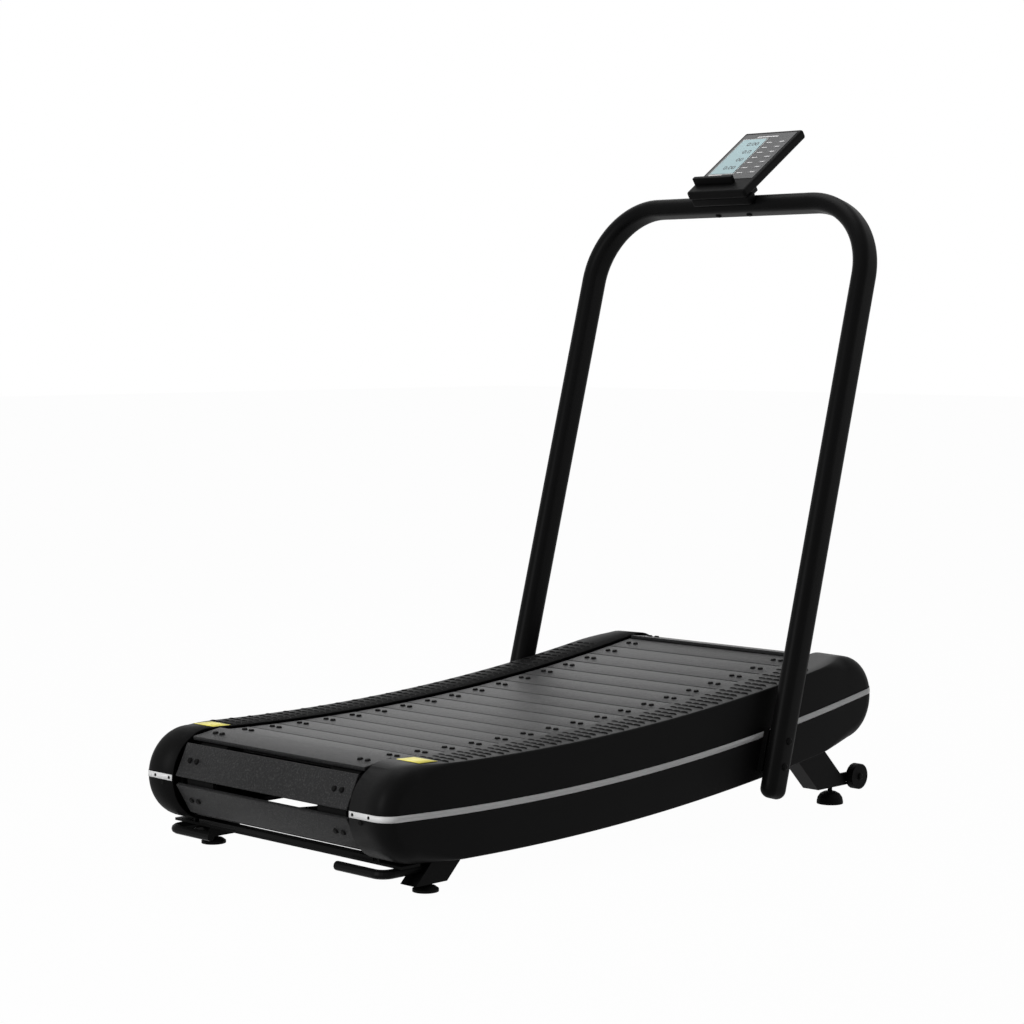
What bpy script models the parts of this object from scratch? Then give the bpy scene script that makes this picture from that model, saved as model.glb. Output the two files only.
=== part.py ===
"""Curved manual treadmill: a slatted endless belt on a concave deck, driven by the runner's feet.

X runs across the machine (+X is the runner's right), +Y the way the runner faces, +Z up.
The origin is on the floor under the middle of the machine's box. All sizes are in metres.
"""

import math

import bmesh
import bpy
from mathutils import Matrix, Vector

# ---- Driving sizes -------------------------------------------------------------------------------
GAP = 0.0003  # between pieces that touch

SLAT_PITCH = 0.072  # along the belt's pitch line
SLAT_COUNT = 42
SLAT_SPACE = 0.002  # left between two slats
SLAT_LENGTH = 0.507  # across the machine
SLAT_THICKNESS = 0.008
RIB_DEPTH = 0.018
RIB_THICKNESS = 0.005
SLAT_SEAT = 0.0005  # how far a slat's pads are moulded into its belts
SLAT_PAD = 0.012  # a pad along the belt
FIRST_SLAT = 0.19  # pitches from the rear wrap's start to its first slat

DECK_LOW_HEIGHT = 0.237  # lowest point of the running surface
DECK_RADIUS = 6.07  # of the concave running surface
REAR_AXLE_ANGLE = math.radians(-2.35)  # seen from the centre of the deck's arc

PULLEY_RADIUS = 0.071  # inner face of a drive belt
PULLEY_WIDTH = 0.084
BELT_THICKNESS = 0.005
BELT_WIDTH = 0.080
BOTTOM_RUN_RADIUS = 3.0  # pitch line of the lower run, which hangs slack
BELT_MIDDLE = 0.195  # from the centre line to the middle of a drive belt
SHAFT_RADIUS = 0.0125
BEARING_RADIUS = 0.030
BEARING_WIDTH = 0.018

SIDE_PLATE = 0.006
SIDE_PLATE_INSIDE = 0.264  # from the centre line
SIDE_PLATE_HALF_HEIGHT = 0.066
COVER_INSIDE = 0.262
COVER_OUTSIDE = 0.360
COVER_HALF_HEIGHT = 0.092
COVER_RISE = 0.003  # the foot rail stands above the slats
COVER_WALL = 0.003
COVER_NOSE = 0.008  # how far the front cover end lies ahead of the front axle
COVER_EDGE = 0.004  # rounding where the side meets the rail
COVER_CORNER = 0.032  # rounding of the upright corners at both ends
COVER_BOSS_RADIUS = 0.009
COVER_BOSS_PLACES = (0.10, 0.45, 0.93)  # shares of the way from the rear axle to the front one

ROLLER_RADIUS = 0.011
ROLLER_WIDTH = 0.009
RAIL_HEIGHT = 0.022
CROSS_TUBE = 0.040
CROSS_TUBE_PLACES = (0.32, 0.72)  # shares of the way from the rear axle to the front one
CROSS_BAR_HALF_LENGTH = 0.335
CROSS_BAR_WIDTH = 0.048
CROSS_BAR_THICKNESS = 0.005
CROSS_BAR_TOP = 0.0598
CROSS_BAR_BEHIND = 0.030  # its rear edge behind the rear axle
CROSS_BAR_TAB_TOP = 0.122

TUBE_THICKNESS = 0.040  # the handle's flat-oval tube, across the machine
TUBE_DEPTH = 0.062  # along the machine
HANDLE_HALF_WIDTH = 0.394  # centre line to the middle of an upright
HANDLE_BEND = 0.170
HANDLE_HEIGHT = 1.317  # middle of the hand bar
HANDLE_LEAN = math.atan(0.275)  # forward, from upright
HANDLE_FOOT = -0.321  # where an upright's line meets the floor, from the front axle
HANDLE_LOW = 0.086  # lower end of the tube
CAP_DROP = 0.024
CAP_ROUNDING = 0.017
HANDLE_BOLT_HEIGHTS = (0.128, 0.180)
HANDLE_BOLT_RADIUS = 0.005
HANDLE_BOLT_HEAD = 0.008
BRACKET_DEPTH = 0.044
BRACKET_MARGIN = 0.018  # bracket beyond its bolts

LEG_INSIDE = 0.293
LEG_WIDTH = 0.042
LEG_LENGTH_FRONT = 0.105  # along the floor
LEG_LENGTH_REAR = 0.080
LEG_FRONT_HEIGHT = 0.040  # underside of a front leg
LEG_REAR_HEIGHT = 0.017
LEG_LAP = 0.060  # how far a leg reaches up inside the cover
LEG_SLANT = math.radians(45)
FOOT_X = 0.3137
FOOT_REAR = 0.051  # foot ahead of the rear axle
FOOT_FRONT = 0.0
FOOT_FROM_TIP_FRONT = 0.036  # foot to the outer end of its leg
FOOT_FROM_TIP_REAR = 0.045
FOOT_FRONT_RADIUS = 0.029
FOOT_REAR_RADIUS = 0.025
FOOT_DOME = 0.027
FOOT_REAR_DOME = 0.012
STUD_RADIUS = 0.005
STUD_REACH = 0.014  # stud inside its leg

WHEEL_RADIUS = 0.028
WHEEL_WIDTH = 0.018
WHEEL_HEIGHT = 0.056
WHEEL_X = 0.341
WHEEL_AHEAD = 0.060  # wheel's axle from the foot
WHEEL_BOLT_RADIUS = 0.004
WHEEL_BOLT_HEAD = 0.0075
WHEEL_PLATE = 0.005
WHEEL_PLATE_HEIGHT = 0.020

LIFT_ROD_RADIUS = 0.009
LIFT_ROD_INNER = 0.187
LIFT_ROD_BEND = 0.022
LIFT_ROD_HEIGHT = 0.0450
LIFT_ROD_BEHIND = 0.056  # rod's middle behind the rear axle
LIFT_ROD_SOCKET = 0.018  # rod inside its leg

CONSOLE_WIDTH = 0.168
CONSOLE_LENGTH = 0.258
CONSOLE_THICKNESS = 0.022
CONSOLE_EDGE = 0.006
CONSOLE_TILT = math.radians(34.5)
CONSOLE_LOW = -0.0444  # its lower edge, along the face from the hand bar
CONSOLE_OUT = 0.0683  # its face, square to the face from the hand bar
DISPLAY_SIZE = (0.068, 0.150)
DISPLAY_MIDDLE = (-0.030, 0.148)
DISPLAY_THICKNESS = 0.0012
KEY_COUNT = 7
KEY_SIZE = (0.020, 0.009)
KEY_X = 0.058
KEY_PITCH = 0.0215
KEY_FIRST = 0.076
KEY_STAND = 0.0012  # a key above the face
KEY_HEIGHT = 0.0050
KEY_WELL = 0.0052  # its depth below the face
LEDGE_SPAN = (-0.078, 0.035)
LEDGE_PLACE = 0.030  # above the console's lower edge
LEDGE_HEIGHT = 0.018
LEDGE_THICKNESS = 0.010
BATTERY_SIZE = (0.130, 0.150, 0.010)
BATTERY_PLACE = 0.080  # above the console's lower edge
MOUNT_HALF_WIDTH = 0.086
MOUNT_SPAN = (-0.040, 0.026)  # along the face from the hand bar
MOUNT_DEPTH = 0.044  # below the console's face
MOUNT_BOLT_RADIUS = 0.004
MOUNT_BOLT_X = 0.045
MOUNT_BOLT_BITE = 0.008  # bolt beyond the bar
SENSOR_SIZE = (0.006, 0.012, 0.024)
SENSOR_PLACE = 0.016  # radians back from the front axle

# ---- Worked out from the driving sizes -----------------------------------------------------------
BELT_LINE = BELT_THICKNESS / 2  # pitch line to either face of a drive belt
SURFACE = BELT_LINE + GAP + SLAT_THICKNESS  # pitch line to the running surface
TOP_RADIUS = DECK_RADIUS + SURFACE  # pitch line of the upper run
WRAP_RADIUS = PULLEY_RADIUS + BELT_LINE
AXLE_RADIUS = TOP_RADIUS + WRAP_RADIUS
BOTTOM_AXLE_RADIUS = BOTTOM_RUN_RADIUS - WRAP_RADIUS


def bottom_angle(deck_angle):
    """The lower run's angle, seen from its own centre, under a deck of this angle."""
    return 2 * math.asin(AXLE_RADIUS * math.sin(deck_angle / 2) / BOTTOM_AXLE_RADIUS)


def belt_length(deck_angle):
    below = bottom_angle(deck_angle)
    wraps = WRAP_RADIUS * (2 * math.pi + deck_angle - below)
    return TOP_RADIUS * deck_angle + BOTTOM_RUN_RADIUS * below + wraps


def solved_deck_angle():
    """The deck angle that takes up a whole number of slats."""
    low, high = 0.05, 0.6
    for _ in range(60):
        middle = (low + high) / 2
        if belt_length(middle) < SLAT_COUNT * SLAT_PITCH:
            low = middle
        else:
            high = middle
    return low


DECK_ANGLE = solved_deck_angle()
BOTTOM_ANGLE = bottom_angle(DECK_ANGLE)
FRONT_AXLE_ANGLE = REAR_AXLE_ANGLE + DECK_ANGLE
MIDDLE_ANGLE = (REAR_AXLE_ANGLE + FRONT_AXLE_ANGLE) / 2
WRAP_ANGLE = math.pi + (DECK_ANGLE - BOTTOM_ANGLE) / 2
WRAP_TURN = WRAP_ANGLE * WRAP_RADIUS / SLAT_PITCH  # pitches in one wrap
TOP_PITCHES = TOP_RADIUS * DECK_ANGLE / SLAT_PITCH
BOTTOM_PITCHES = BOTTOM_RUN_RADIUS * BOTTOM_ANGLE / SLAT_PITCH
COVER_MIDDLE = DECK_RADIUS - COVER_RISE + COVER_HALF_HEIGHT

FACE = Vector((0, math.cos(CONSOLE_TILT), math.sin(CONSOLE_TILT)))  # up the console's face
NORMAL = Vector((0, -math.sin(CONSOLE_TILT), math.cos(CONSOLE_TILT)))
LEAN_UP = Vector((0, math.sin(HANDLE_LEAN), math.cos(HANDLE_LEAN)))
LEAN_OUT = Vector((0, math.cos(HANDLE_LEAN), -math.sin(HANDLE_LEAN)))

FRONT_AXLE_FROM_LOW = AXLE_RADIUS * math.sin(FRONT_AXLE_ANGLE)
REAR_AXLE_FROM_LOW = AXLE_RADIUS * math.sin(REAR_AXLE_ANGLE)
REAR_END = COVER_MIDDLE * math.sin(REAR_AXLE_ANGLE) - COVER_HALF_HEIGHT
FRONT_END = (
    FRONT_AXLE_FROM_LOW
    + HANDLE_FOOT
    + HANDLE_HEIGHT * math.tan(HANDLE_LEAN)
    + (FACE * (CONSOLE_LOW + CONSOLE_LENGTH - CONSOLE_EDGE)).y
    + (NORMAL * (CONSOLE_OUT - CONSOLE_THICKNESS + CONSOLE_EDGE)).y
    + CONSOLE_EDGE
)
LOW_Y = -(REAR_END + FRONT_END) / 2  # puts the middle of the machine's box on Y = 0
CENTRE_Z = DECK_LOW_HEIGHT + DECK_RADIUS


def on_arc(radius, angle):
    """(Y, Z) of a point seen from the centre of the deck's arc, which lies high above the belt."""
    return LOW_Y + radius * math.sin(angle), CENTRE_Z - radius * math.cos(angle)


REAR_AXLE = on_arc(AXLE_RADIUS, REAR_AXLE_ANGLE)
FRONT_AXLE = on_arc(AXLE_RADIUS, FRONT_AXLE_ANGLE)
DECK_CENTRE = (LOW_Y, CENTRE_Z)
BOTTOM_CENTRE = on_arc(
    AXLE_RADIUS * math.cos(DECK_ANGLE / 2) - BOTTOM_AXLE_RADIUS * math.cos(BOTTOM_ANGLE / 2),
    MIDDLE_ANGLE,
)
HAND_BAR = Vector(
    (0, FRONT_AXLE[0] + HANDLE_FOOT + HANDLE_HEIGHT * math.tan(HANDLE_LEAN), HANDLE_HEIGHT)
)
SIDES = {"left": -1, "right": 1}


# ---- Making solids -------------------------------------------------------------------------------
def start_scene():
    """An empty scene with one collection for the machine and one for its cutters."""
    for old in list(bpy.data.objects):
        bpy.data.objects.remove(old, do_unlink=True)
    for name in ("curved_manual_treadmill", "cutters"):
        bpy.context.scene.collection.children.link(bpy.data.collections.new(name))
    bpy.data.collections["cutters"].hide_render = True


def material(name, colour, roughness, metallic=0.0):
    made = bpy.data.materials.get(name)
    if made is None:
        made = bpy.data.materials.new(name)
        made.use_nodes = True
        shader = made.node_tree.nodes["Principled BSDF"]
        shader.inputs["Base Color"].default_value = (*colour, 1)
        shader.inputs["Roughness"].default_value = roughness
        shader.inputs["Metallic"].default_value = metallic
    return made


def black_plastic():
    return material("black_plastic", (0.012, 0.012, 0.012), 0.45)


def black_paint():
    return material("black_paint", (0.010, 0.010, 0.010), 0.35)


def rubber():
    return material("rubber", (0.014, 0.014, 0.014), 0.8)


def steel():
    return material("steel", (0.45, 0.45, 0.46), 0.35, 1.0)


def black_bolt():
    return material("black_bolt", (0.03, 0.03, 0.03), 0.4, 0.8)


def add(name, mesh, made_of, home="curved_manual_treadmill"):
    """The mesh as a named object, smooth where its faces meet at a shallow angle."""
    mesh.shade_smooth()
    mesh.set_sharp_from_angle(angle=math.radians(35))
    piece = bpy.data.objects.new(name, mesh)
    bpy.data.collections[home].objects.link(piece)
    if made_of is not None:
        mesh.materials.append(made_of)
    if home == "cutters":
        piece.hide_render = True
        piece.display_type = "WIRE"
    return piece


def from_bmesh(name, shape, made_of, home="curved_manual_treadmill"):
    mesh = bpy.data.meshes.new(name)
    shape.to_mesh(mesh)
    shape.free()
    return add(name, mesh, made_of, home)


def block(name, low, high, made_of, home="curved_manual_treadmill", turn=None):
    """A box between two corners; turn is a matrix that places a box drawn about the origin."""
    low, high = Vector(low), Vector(high)
    shape = bmesh.new()
    bmesh.ops.create_cube(shape, size=1)
    bmesh.ops.scale(shape, vec=high - low, verts=shape.verts)
    bmesh.ops.translate(shape, vec=(low + high) / 2, verts=shape.verts)
    if turn is not None:
        bmesh.ops.transform(shape, matrix=turn, verts=shape.verts)
    return from_bmesh(name, shape, made_of, home)


def rod(name, radius, start, end, made_of, home="curved_manual_treadmill", sides=20):
    """A round bar between two points."""
    start, end = Vector(start), Vector(end)
    shape = bmesh.new()
    bmesh.ops.create_cone(
        shape, cap_ends=True, segments=sides, radius1=radius, radius2=radius, depth=(end - start).length
    )
    turn = (end - start).to_track_quat("Z", "Y").to_matrix().to_4x4()
    bmesh.ops.transform(shape, matrix=Matrix.Translation((start + end) / 2) @ turn, verts=shape.verts)
    return from_bmesh(name, shape, made_of, home)


def meshed(curve):
    """The curve object as a mesh object of the same name and place, with its caps welded on."""
    graph = bpy.context.evaluated_depsgraph_get()
    mesh = bpy.data.meshes.new_from_object(curve.evaluated_get(graph))
    shape = bmesh.new()
    shape.from_mesh(mesh)
    bmesh.ops.remove_doubles(shape, verts=shape.verts, dist=0.00001)
    bmesh.ops.transform(shape, matrix=curve.matrix_world, verts=shape.verts)
    bmesh.ops.recalc_face_normals(shape, faces=shape.faces)
    shape.to_mesh(mesh)
    shape.free()
    name, home = curve.name, curve.users_collection[0].name
    made_of = curve.data.materials[0] if curve.data.materials else None
    bpy.data.objects.remove(curve, do_unlink=True)
    mesh.materials.clear()
    return add(name, mesh, made_of, home)


def side_outline(name, points, low, high, made_of, home="curved_manual_treadmill"):
    """A flat outline in Y and Z, as thick as from X = low to X = high."""
    data = bpy.data.curves.new(name, "CURVE")
    data.dimensions = "2D"
    data.fill_mode = "BOTH"
    data.extrude = abs(high - low) / 2
    line = data.splines.new("POLY")
    line.points.add(len(points) - 1)
    for point, (y, z) in zip(line.points, points):
        point.co = (y, z, 0, 1)
    line.use_cyclic_u = True
    if made_of is not None:
        data.materials.append(made_of)
    piece = bpy.data.objects.new(name, data)
    bpy.data.collections[home].objects.link(piece)
    piece.matrix_world = Matrix(
        ((0, 0, 1, (low + high) / 2), (1, 0, 0, 0), (0, 1, 0, 0), (0, 0, 0, 1))
    )
    bpy.context.view_layer.update()
    return meshed(piece)


def turned(name, profile, made_of, home="curved_manual_treadmill", closed=False, sides=32):
    """A profile of (radius, height) points, from its top down the outside, turned about Z."""
    mesh = bpy.data.meshes.new(name)
    count = len(profile)
    edges = [(i, i + 1) for i in range(count - 1)] + ([(count - 1, 0)] if closed else [])
    mesh.from_pydata([(radius, 0, height) for radius, height in profile], edges, [])
    piece = add(name, mesh, made_of, home)
    screw = piece.modifiers.new("turn", "SCREW")
    screw.steps = screw.render_steps = sides
    screw.use_merge_vertices = True
    screw.merge_threshold = 0.00001
    screw.use_smooth_shade = True
    return piece


def ring(name, hole, radius, low, high, centre, made_of, sides=40):
    """A ring about an axis along X, from X = low to X = high, round the (Y, Z) centre."""
    half = abs(high - low) / 2
    profile = [(radius, half), (radius, -half), (hole, -half), (hole, half)]
    piece = turned(name, profile, made_of, closed=True, sides=sides)
    piece.rotation_euler = (0, math.radians(90), 0)
    piece.location = ((low + high) / 2, *centre)
    return piece


def boolean(piece, other, operation):
    change = piece.modifiers.new(operation.lower(), "BOOLEAN")
    change.operation = operation
    change.solver = "EXACT"
    change.object = other


def cut(piece, cutter):
    boolean(piece, cutter, "DIFFERENCE")


def join(piece, other, with_itself=False):
    boolean(piece, other, "UNION")
    piece.modifiers[-1].use_self = with_itself


# ---- Outlines that follow the deck's arc -----------------------------------------------------------
def arc_points(radius, start, end, steps):
    return [on_arc(radius, start + (end - start) * i / steps) for i in range(steps + 1)]


def round_points(centre, radius, angle, start, end, steps):
    """Points round a centre; a turn of 0 is towards the deck's arc centre, 90 degrees is forward."""
    found = []
    for i in range(steps + 1):
        turn = start + (end - start) * i / steps
        found.append(
            (
                centre[0] + radius * math.sin(turn - angle),
                centre[1] + radius * math.cos(turn - angle),
            )
        )
    return found


def racetrack(middle, half, rear, front, steps=24, end_steps=14):
    """A curved band with half-round ends: its mid line has the radius middle."""
    top = arc_points(middle - half, rear, front, steps)
    nose = round_points(on_arc(middle, front), half, front, 0, math.pi, end_steps)
    bottom = arc_points(middle + half, front, rear, steps)
    tail = round_points(on_arc(middle, rear), half, rear, math.pi, 2 * math.pi, end_steps)
    return top + nose[1:-1] + bottom + tail[1:-1]


# ---- Belt ----------------------------------------------------------------------------------------
def belt_point(place):
    """(centre, turn) of the belt's pitch line, place pitches on from the rear wrap's start.

    Places grow down the rear wrap, forward along the lower run, up the front wrap, and back
    along the upper run. The turn is the belt's outward direction, from straight up towards +Y.
    """
    if place < WRAP_TURN:
        angle = -REAR_AXLE_ANGLE - place * SLAT_PITCH / WRAP_RADIUS
        return (
            REAR_AXLE[0] + WRAP_RADIUS * math.sin(angle),
            REAR_AXLE[1] + WRAP_RADIUS * math.cos(angle),
        ), angle
    place -= WRAP_TURN
    if place < BOTTOM_PITCHES:
        seen = MIDDLE_ANGLE - BOTTOM_ANGLE / 2 + place * SLAT_PITCH / BOTTOM_RUN_RADIUS
        return (
            BOTTOM_CENTRE[0] + BOTTOM_RUN_RADIUS * math.sin(seen),
            BOTTOM_CENTRE[1] - BOTTOM_RUN_RADIUS * math.cos(seen),
        ), math.pi - seen
    place -= BOTTOM_PITCHES
    if place < WRAP_TURN:
        angle = WRAP_ANGLE - FRONT_AXLE_ANGLE - place * SLAT_PITCH / WRAP_RADIUS
        return (
            FRONT_AXLE[0] + WRAP_RADIUS * math.sin(angle),
            FRONT_AXLE[1] + WRAP_RADIUS * math.cos(angle),
        ), angle
    place -= WRAP_TURN
    seen = FRONT_AXLE_ANGLE - place * SLAT_PITCH / TOP_RADIUS
    return on_arc(TOP_RADIUS, seen), -seen


def slats(name, places):
    """All the slats of one run: a plate with a stiffening rib, on one pad per drive belt."""
    shape = bmesh.new()
    half = (SLAT_PITCH - SLAT_SPACE) / 2
    rib_reach = BELT_MIDDLE - PULLEY_WIDTH / 2 - 0.012
    pad_reach = BELT_WIDTH / 2 - 0.004
    low = BELT_LINE + GAP
    boxes = [
        ((-SLAT_LENGTH / 2, -half, low), (SLAT_LENGTH / 2, half, SURFACE)),
        (
            (-rib_reach, -RIB_THICKNESS / 2, low - RIB_DEPTH),
            (rib_reach, RIB_THICKNESS / 2, low + 0.002),
        ),
    ]
    for sign in SIDES.values():
        middle = sign * BELT_MIDDLE
        boxes.append(
            (
                (middle - pad_reach, -SLAT_PAD / 2, BELT_LINE - SLAT_SEAT),
                (middle + pad_reach, SLAT_PAD / 2, low + 0.002),
            )
        )
    for place in places:
        (y, z), angle = belt_point(place)
        turn = Matrix.Translation((0, y, z)) @ Matrix.Rotation(-angle, 4, "X")
        for near, far in boxes:
            near, far = Vector(near), Vector(far)
            made = bmesh.ops.create_cube(shape, size=1)["verts"]
            bmesh.ops.scale(shape, vec=far - near, verts=made)
            bmesh.ops.translate(shape, vec=(near + far) / 2, verts=made)
            bmesh.ops.transform(shape, matrix=turn, verts=made)
    return from_bmesh(name, shape, None, "cutters")


def belt_run(name, first, last, slat_places, steps):
    """One run of the belt: its share of both drive belts, with its slats moulded on."""
    slack = 0.007  # pitches left open at each end of a run
    places = [first + slack + (last - first - 2 * slack) * i / steps for i in range(steps + 1)]
    outer, inner = [], []
    for place in places:
        (y, z), angle = belt_point(place)
        outer.append((y + BELT_LINE * math.sin(angle), z + BELT_LINE * math.cos(angle)))
        inner.append((y - BELT_LINE * math.sin(angle), z - BELT_LINE * math.cos(angle)))
    outline = outer + inner[::-1]
    made = {}
    for side, sign in SIDES.items():
        edges = sorted((sign * (BELT_MIDDLE - BELT_WIDTH / 2), sign * (BELT_MIDDLE + BELT_WIDTH / 2)))
        home = "cutters" if side == "right" else "curved_manual_treadmill"
        label = name if side == "left" else f"{name}_right_belt"
        made[side] = side_outline(label, outline, *edges, rubber(), home)
    join(made["left"], slats(f"{name}_slats", slat_places), with_itself=True)
    join(made["left"], made["right"])
    return made["left"]


def belt():
    rear_end = WRAP_TURN
    bottom_end = rear_end + BOTTOM_PITCHES
    front_end = bottom_end + WRAP_TURN
    total = front_end + TOP_PITCHES
    places = [FIRST_SLAT + i for i in range(SLAT_COUNT)]
    belt_run("belt_rear_wrap", 0, rear_end, [p for p in places if p < rear_end], 24)
    belt_run("belt_bottom_run", rear_end, bottom_end, [p for p in places if rear_end <= p < bottom_end], 20)
    belt_run("belt_front_wrap", bottom_end, front_end, [p for p in places if bottom_end <= p < front_end], 24)
    belt_run("belt_top_run", front_end, total, [p for p in places if p >= front_end], 20)


# ---- Running gear --------------------------------------------------------------------------------
def running_gear():
    """Two shafts, each with two drive pulleys, in bearings outside the side plates."""
    bearing_low = SIDE_PLATE_INSIDE + SIDE_PLATE + GAP
    reach = bearing_low + BEARING_WIDTH
    for end, axle in (("rear", REAR_AXLE), ("front", FRONT_AXLE)):
        rod(f"{end}_shaft", SHAFT_RADIUS, (-reach, *axle), (reach, *axle), steel(), sides=24)
        for side, sign in SIDES.items():
            inner = sign * (BELT_MIDDLE - PULLEY_WIDTH / 2)
            outer = sign * (BELT_MIDDLE + PULLEY_WIDTH / 2)
            ring(
                f"{end}_pulley_{side}",
                SHAFT_RADIUS + GAP,
                PULLEY_RADIUS - GAP,
                *sorted((inner, outer)),
                axle,
                black_plastic(),
                sides=48,
            )
            name = "one_way_bearing" if (end, side) == ("front", "left") else f"{end}_bearing_{side}"
            ring(
                name,
                SHAFT_RADIUS + GAP,
                BEARING_RADIUS,
                *sorted((sign * bearing_low, sign * (bearing_low + BEARING_WIDTH))),
                axle,
                steel(),
                sides=28,
            )


def roller_rails():
    """A curved rail inside each side plate, with the rollers that carry the slats' ends."""
    centre = DECK_RADIUS + SLAT_THICKNESS + GAP + ROLLER_RADIUS
    reach = DECK_ANGLE / 2 - 0.9 * SLAT_PITCH / TOP_RADIUS
    middle = (REAR_AXLE_ANGLE + FRONT_AXLE_ANGLE) / 2
    outline = arc_points(centre - RAIL_HEIGHT / 2 + 0.004, middle - reach, middle + reach, 20)
    outline += arc_points(centre + RAIL_HEIGHT / 2 + 0.004, middle + reach, middle - reach, 20)
    count = int(2 * reach * TOP_RADIUS / SLAT_PITCH)
    for side, sign in SIDES.items():
        plate_side = sign * (SIDE_PLATE_INSIDE - GAP)
        rail_side = sign * (SLAT_LENGTH / 2 + 0.001)
        name = f"roller_rail_{side}"
        rail = side_outline(name, outline, *sorted((plate_side, rail_side)), black_plastic())
        shape = bmesh.new()
        for i in range(count):
            seen = middle - reach + (i + 0.5) * 2 * reach / count
            y, z = on_arc(centre, seen)
            start = Vector((sign * (SLAT_LENGTH / 2 - ROLLER_WIDTH), y, z))
            end = Vector((sign * (SLAT_LENGTH / 2 + 0.004), y, z))
            made = bmesh.ops.create_cone(
                shape,
                cap_ends=True,
                segments=12,
                radius1=ROLLER_RADIUS,
                radius2=ROLLER_RADIUS,
                depth=(end - start).length,
            )
            turn = Matrix.Rotation(math.radians(90), 4, "Y")
            place = Matrix.Translation((start + end) / 2) @ turn
            bmesh.ops.transform(shape, matrix=place, verts=made["verts"])
        join(rail, from_bmesh(f"{name}_rollers", shape, None, "cutters"))


# ---- Frame ---------------------------------------------------------------------------------------
def upright_y(height):
    return FRONT_AXLE[0] + HANDLE_FOOT + height * math.tan(HANDLE_LEAN)


def handle_lean():
    return Matrix.Rotation(-HANDLE_LEAN, 4, "X")


def side_frames():
    """A plate each side that carries the axles, rollers, legs and handle bracket."""
    outline = racetrack(
        AXLE_RADIUS, SIDE_PLATE_HALF_HEIGHT, REAR_AXLE_ANGLE, FRONT_AXLE_ANGLE, 20, 10
    )
    low, high = HANDLE_BOLT_HEIGHTS
    half = (high - low) / 2 / math.cos(HANDLE_LEAN) + BRACKET_MARGIN
    middle = (low + high) / 2
    for side, sign in SIDES.items():
        inside, outside = SIDE_PLATE_INSIDE, SIDE_PLATE_INSIDE + SIDE_PLATE
        frame = side_outline(
            f"side_frame_{side}", outline, *sorted((sign * inside, sign * outside)), black_paint()
        )
        reach = HANDLE_HALF_WIDTH - TUBE_THICKNESS / 2 - GAP
        bracket = block(
            f"handle_bracket_{side}",
            (min(sign * (outside - 0.002), sign * reach), -BRACKET_DEPTH / 2, -half),
            (max(sign * (outside - 0.002), sign * reach), BRACKET_DEPTH / 2, half),
            None,
            "cutters",
            Matrix.Translation((0, upright_y(middle), middle)) @ handle_lean(),
        )
        join(frame, bracket)
        for end, axle in (("rear", REAR_AXLE), ("front", FRONT_AXLE)):
            hole = rod(
                f"{end}_axle_hole_{side}",
                SHAFT_RADIUS + 0.001,
                (sign * (inside - 0.01), *axle),
                (sign * (outside + 0.01), *axle),
                None,
                "cutters",
            )
            cut(frame, hole)
        for i, height in enumerate(HANDLE_BOLT_HEIGHTS):
            hole = rod(
                f"handle_bolt_hole_{side}_{i}",
                HANDLE_BOLT_RADIUS + GAP,
                (sign * (outside + 0.010), upright_y(height), height),
                (sign * (reach + 0.01), upright_y(height), height),
                None,
                "cutters",
            )
            cut(frame, hole)


def cross_members():
    """Square tubes between the side plates inside the belt's loop, and a flat bar under the rear."""
    reach = SIDE_PLATE_INSIDE - GAP
    for number, share in enumerate(CROSS_TUBE_PLACES, 1):
        angle = REAR_AXLE_ANGLE + share * DECK_ANGLE
        y, z = on_arc(AXLE_RADIUS, angle)
        half = CROSS_TUBE / 2
        block(
            f"cross_tube_{number}",
            (-reach, -half, -half),
            (reach, half, half),
            black_paint(),
            turn=Matrix.Translation((0, y, z)) @ Matrix.Rotation(angle, 4, "X"),
        )
    back = REAR_AXLE[0] - CROSS_BAR_BEHIND
    low = CROSS_BAR_TOP - CROSS_BAR_THICKNESS
    bar = block(
        "rear_cross_bar",
        (-CROSS_BAR_HALF_LENGTH, back, low),
        (CROSS_BAR_HALF_LENGTH, back + CROSS_BAR_WIDTH, CROSS_BAR_TOP),
        black_paint(),
    )
    tab_low = SIDE_PLATE_INSIDE + SIDE_PLATE + GAP
    for side, sign in SIDES.items():
        edges = sorted((sign * tab_low, sign * (tab_low + CROSS_BAR_THICKNESS)))
        tab = block(
            f"rear_cross_bar_tab_{side}",
            (edges[0], back + GAP, low + 0.001),
            (edges[1], back + CROSS_BAR_WIDTH, CROSS_BAR_TAB_TOP),
            None,
            "cutters",
        )
        join(bar, tab)


# ---- Covers --------------------------------------------------------------------------------------
def cover_stations(inset):
    """(Y, Z, inward Y, inward Z, rounding) round a cover, moved in by the inset."""
    rear = REAR_AXLE_ANGLE
    front = FRONT_AXLE_ANGLE + COVER_NOSE / COVER_MIDDLE
    half = COVER_HALF_HEIGHT - inset
    steps, end_steps = 18, 12
    outline = racetrack(COVER_MIDDLE, half, rear, front, steps, end_steps)
    inner = racetrack(COVER_MIDDLE, half - 0.01, rear, front, steps, end_steps)
    ramp = 3  # stations over which a rounding grows towards an end
    found = []
    for i, ((y, z), (y2, z2)) in enumerate(zip(outline, inner)):
        if i <= steps:
            share = max(0, ramp - i, i - steps + ramp) / ramp
            rounding = COVER_EDGE + (COVER_CORNER - COVER_EDGE) * share
        elif i < steps + end_steps:
            rounding = COVER_CORNER
        elif i <= 2 * steps + end_steps:
            along = i - steps - end_steps
            share = max(0, ramp - along, along - steps + ramp) / ramp
            rounding = COVER_EDGE / 2 + (COVER_CORNER - COVER_EDGE / 2) * share
        else:
            rounding = COVER_CORNER
        found.append((y, z, (y2 - y) / 0.01, (z2 - z) / 0.01, rounding))
    return found


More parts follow.
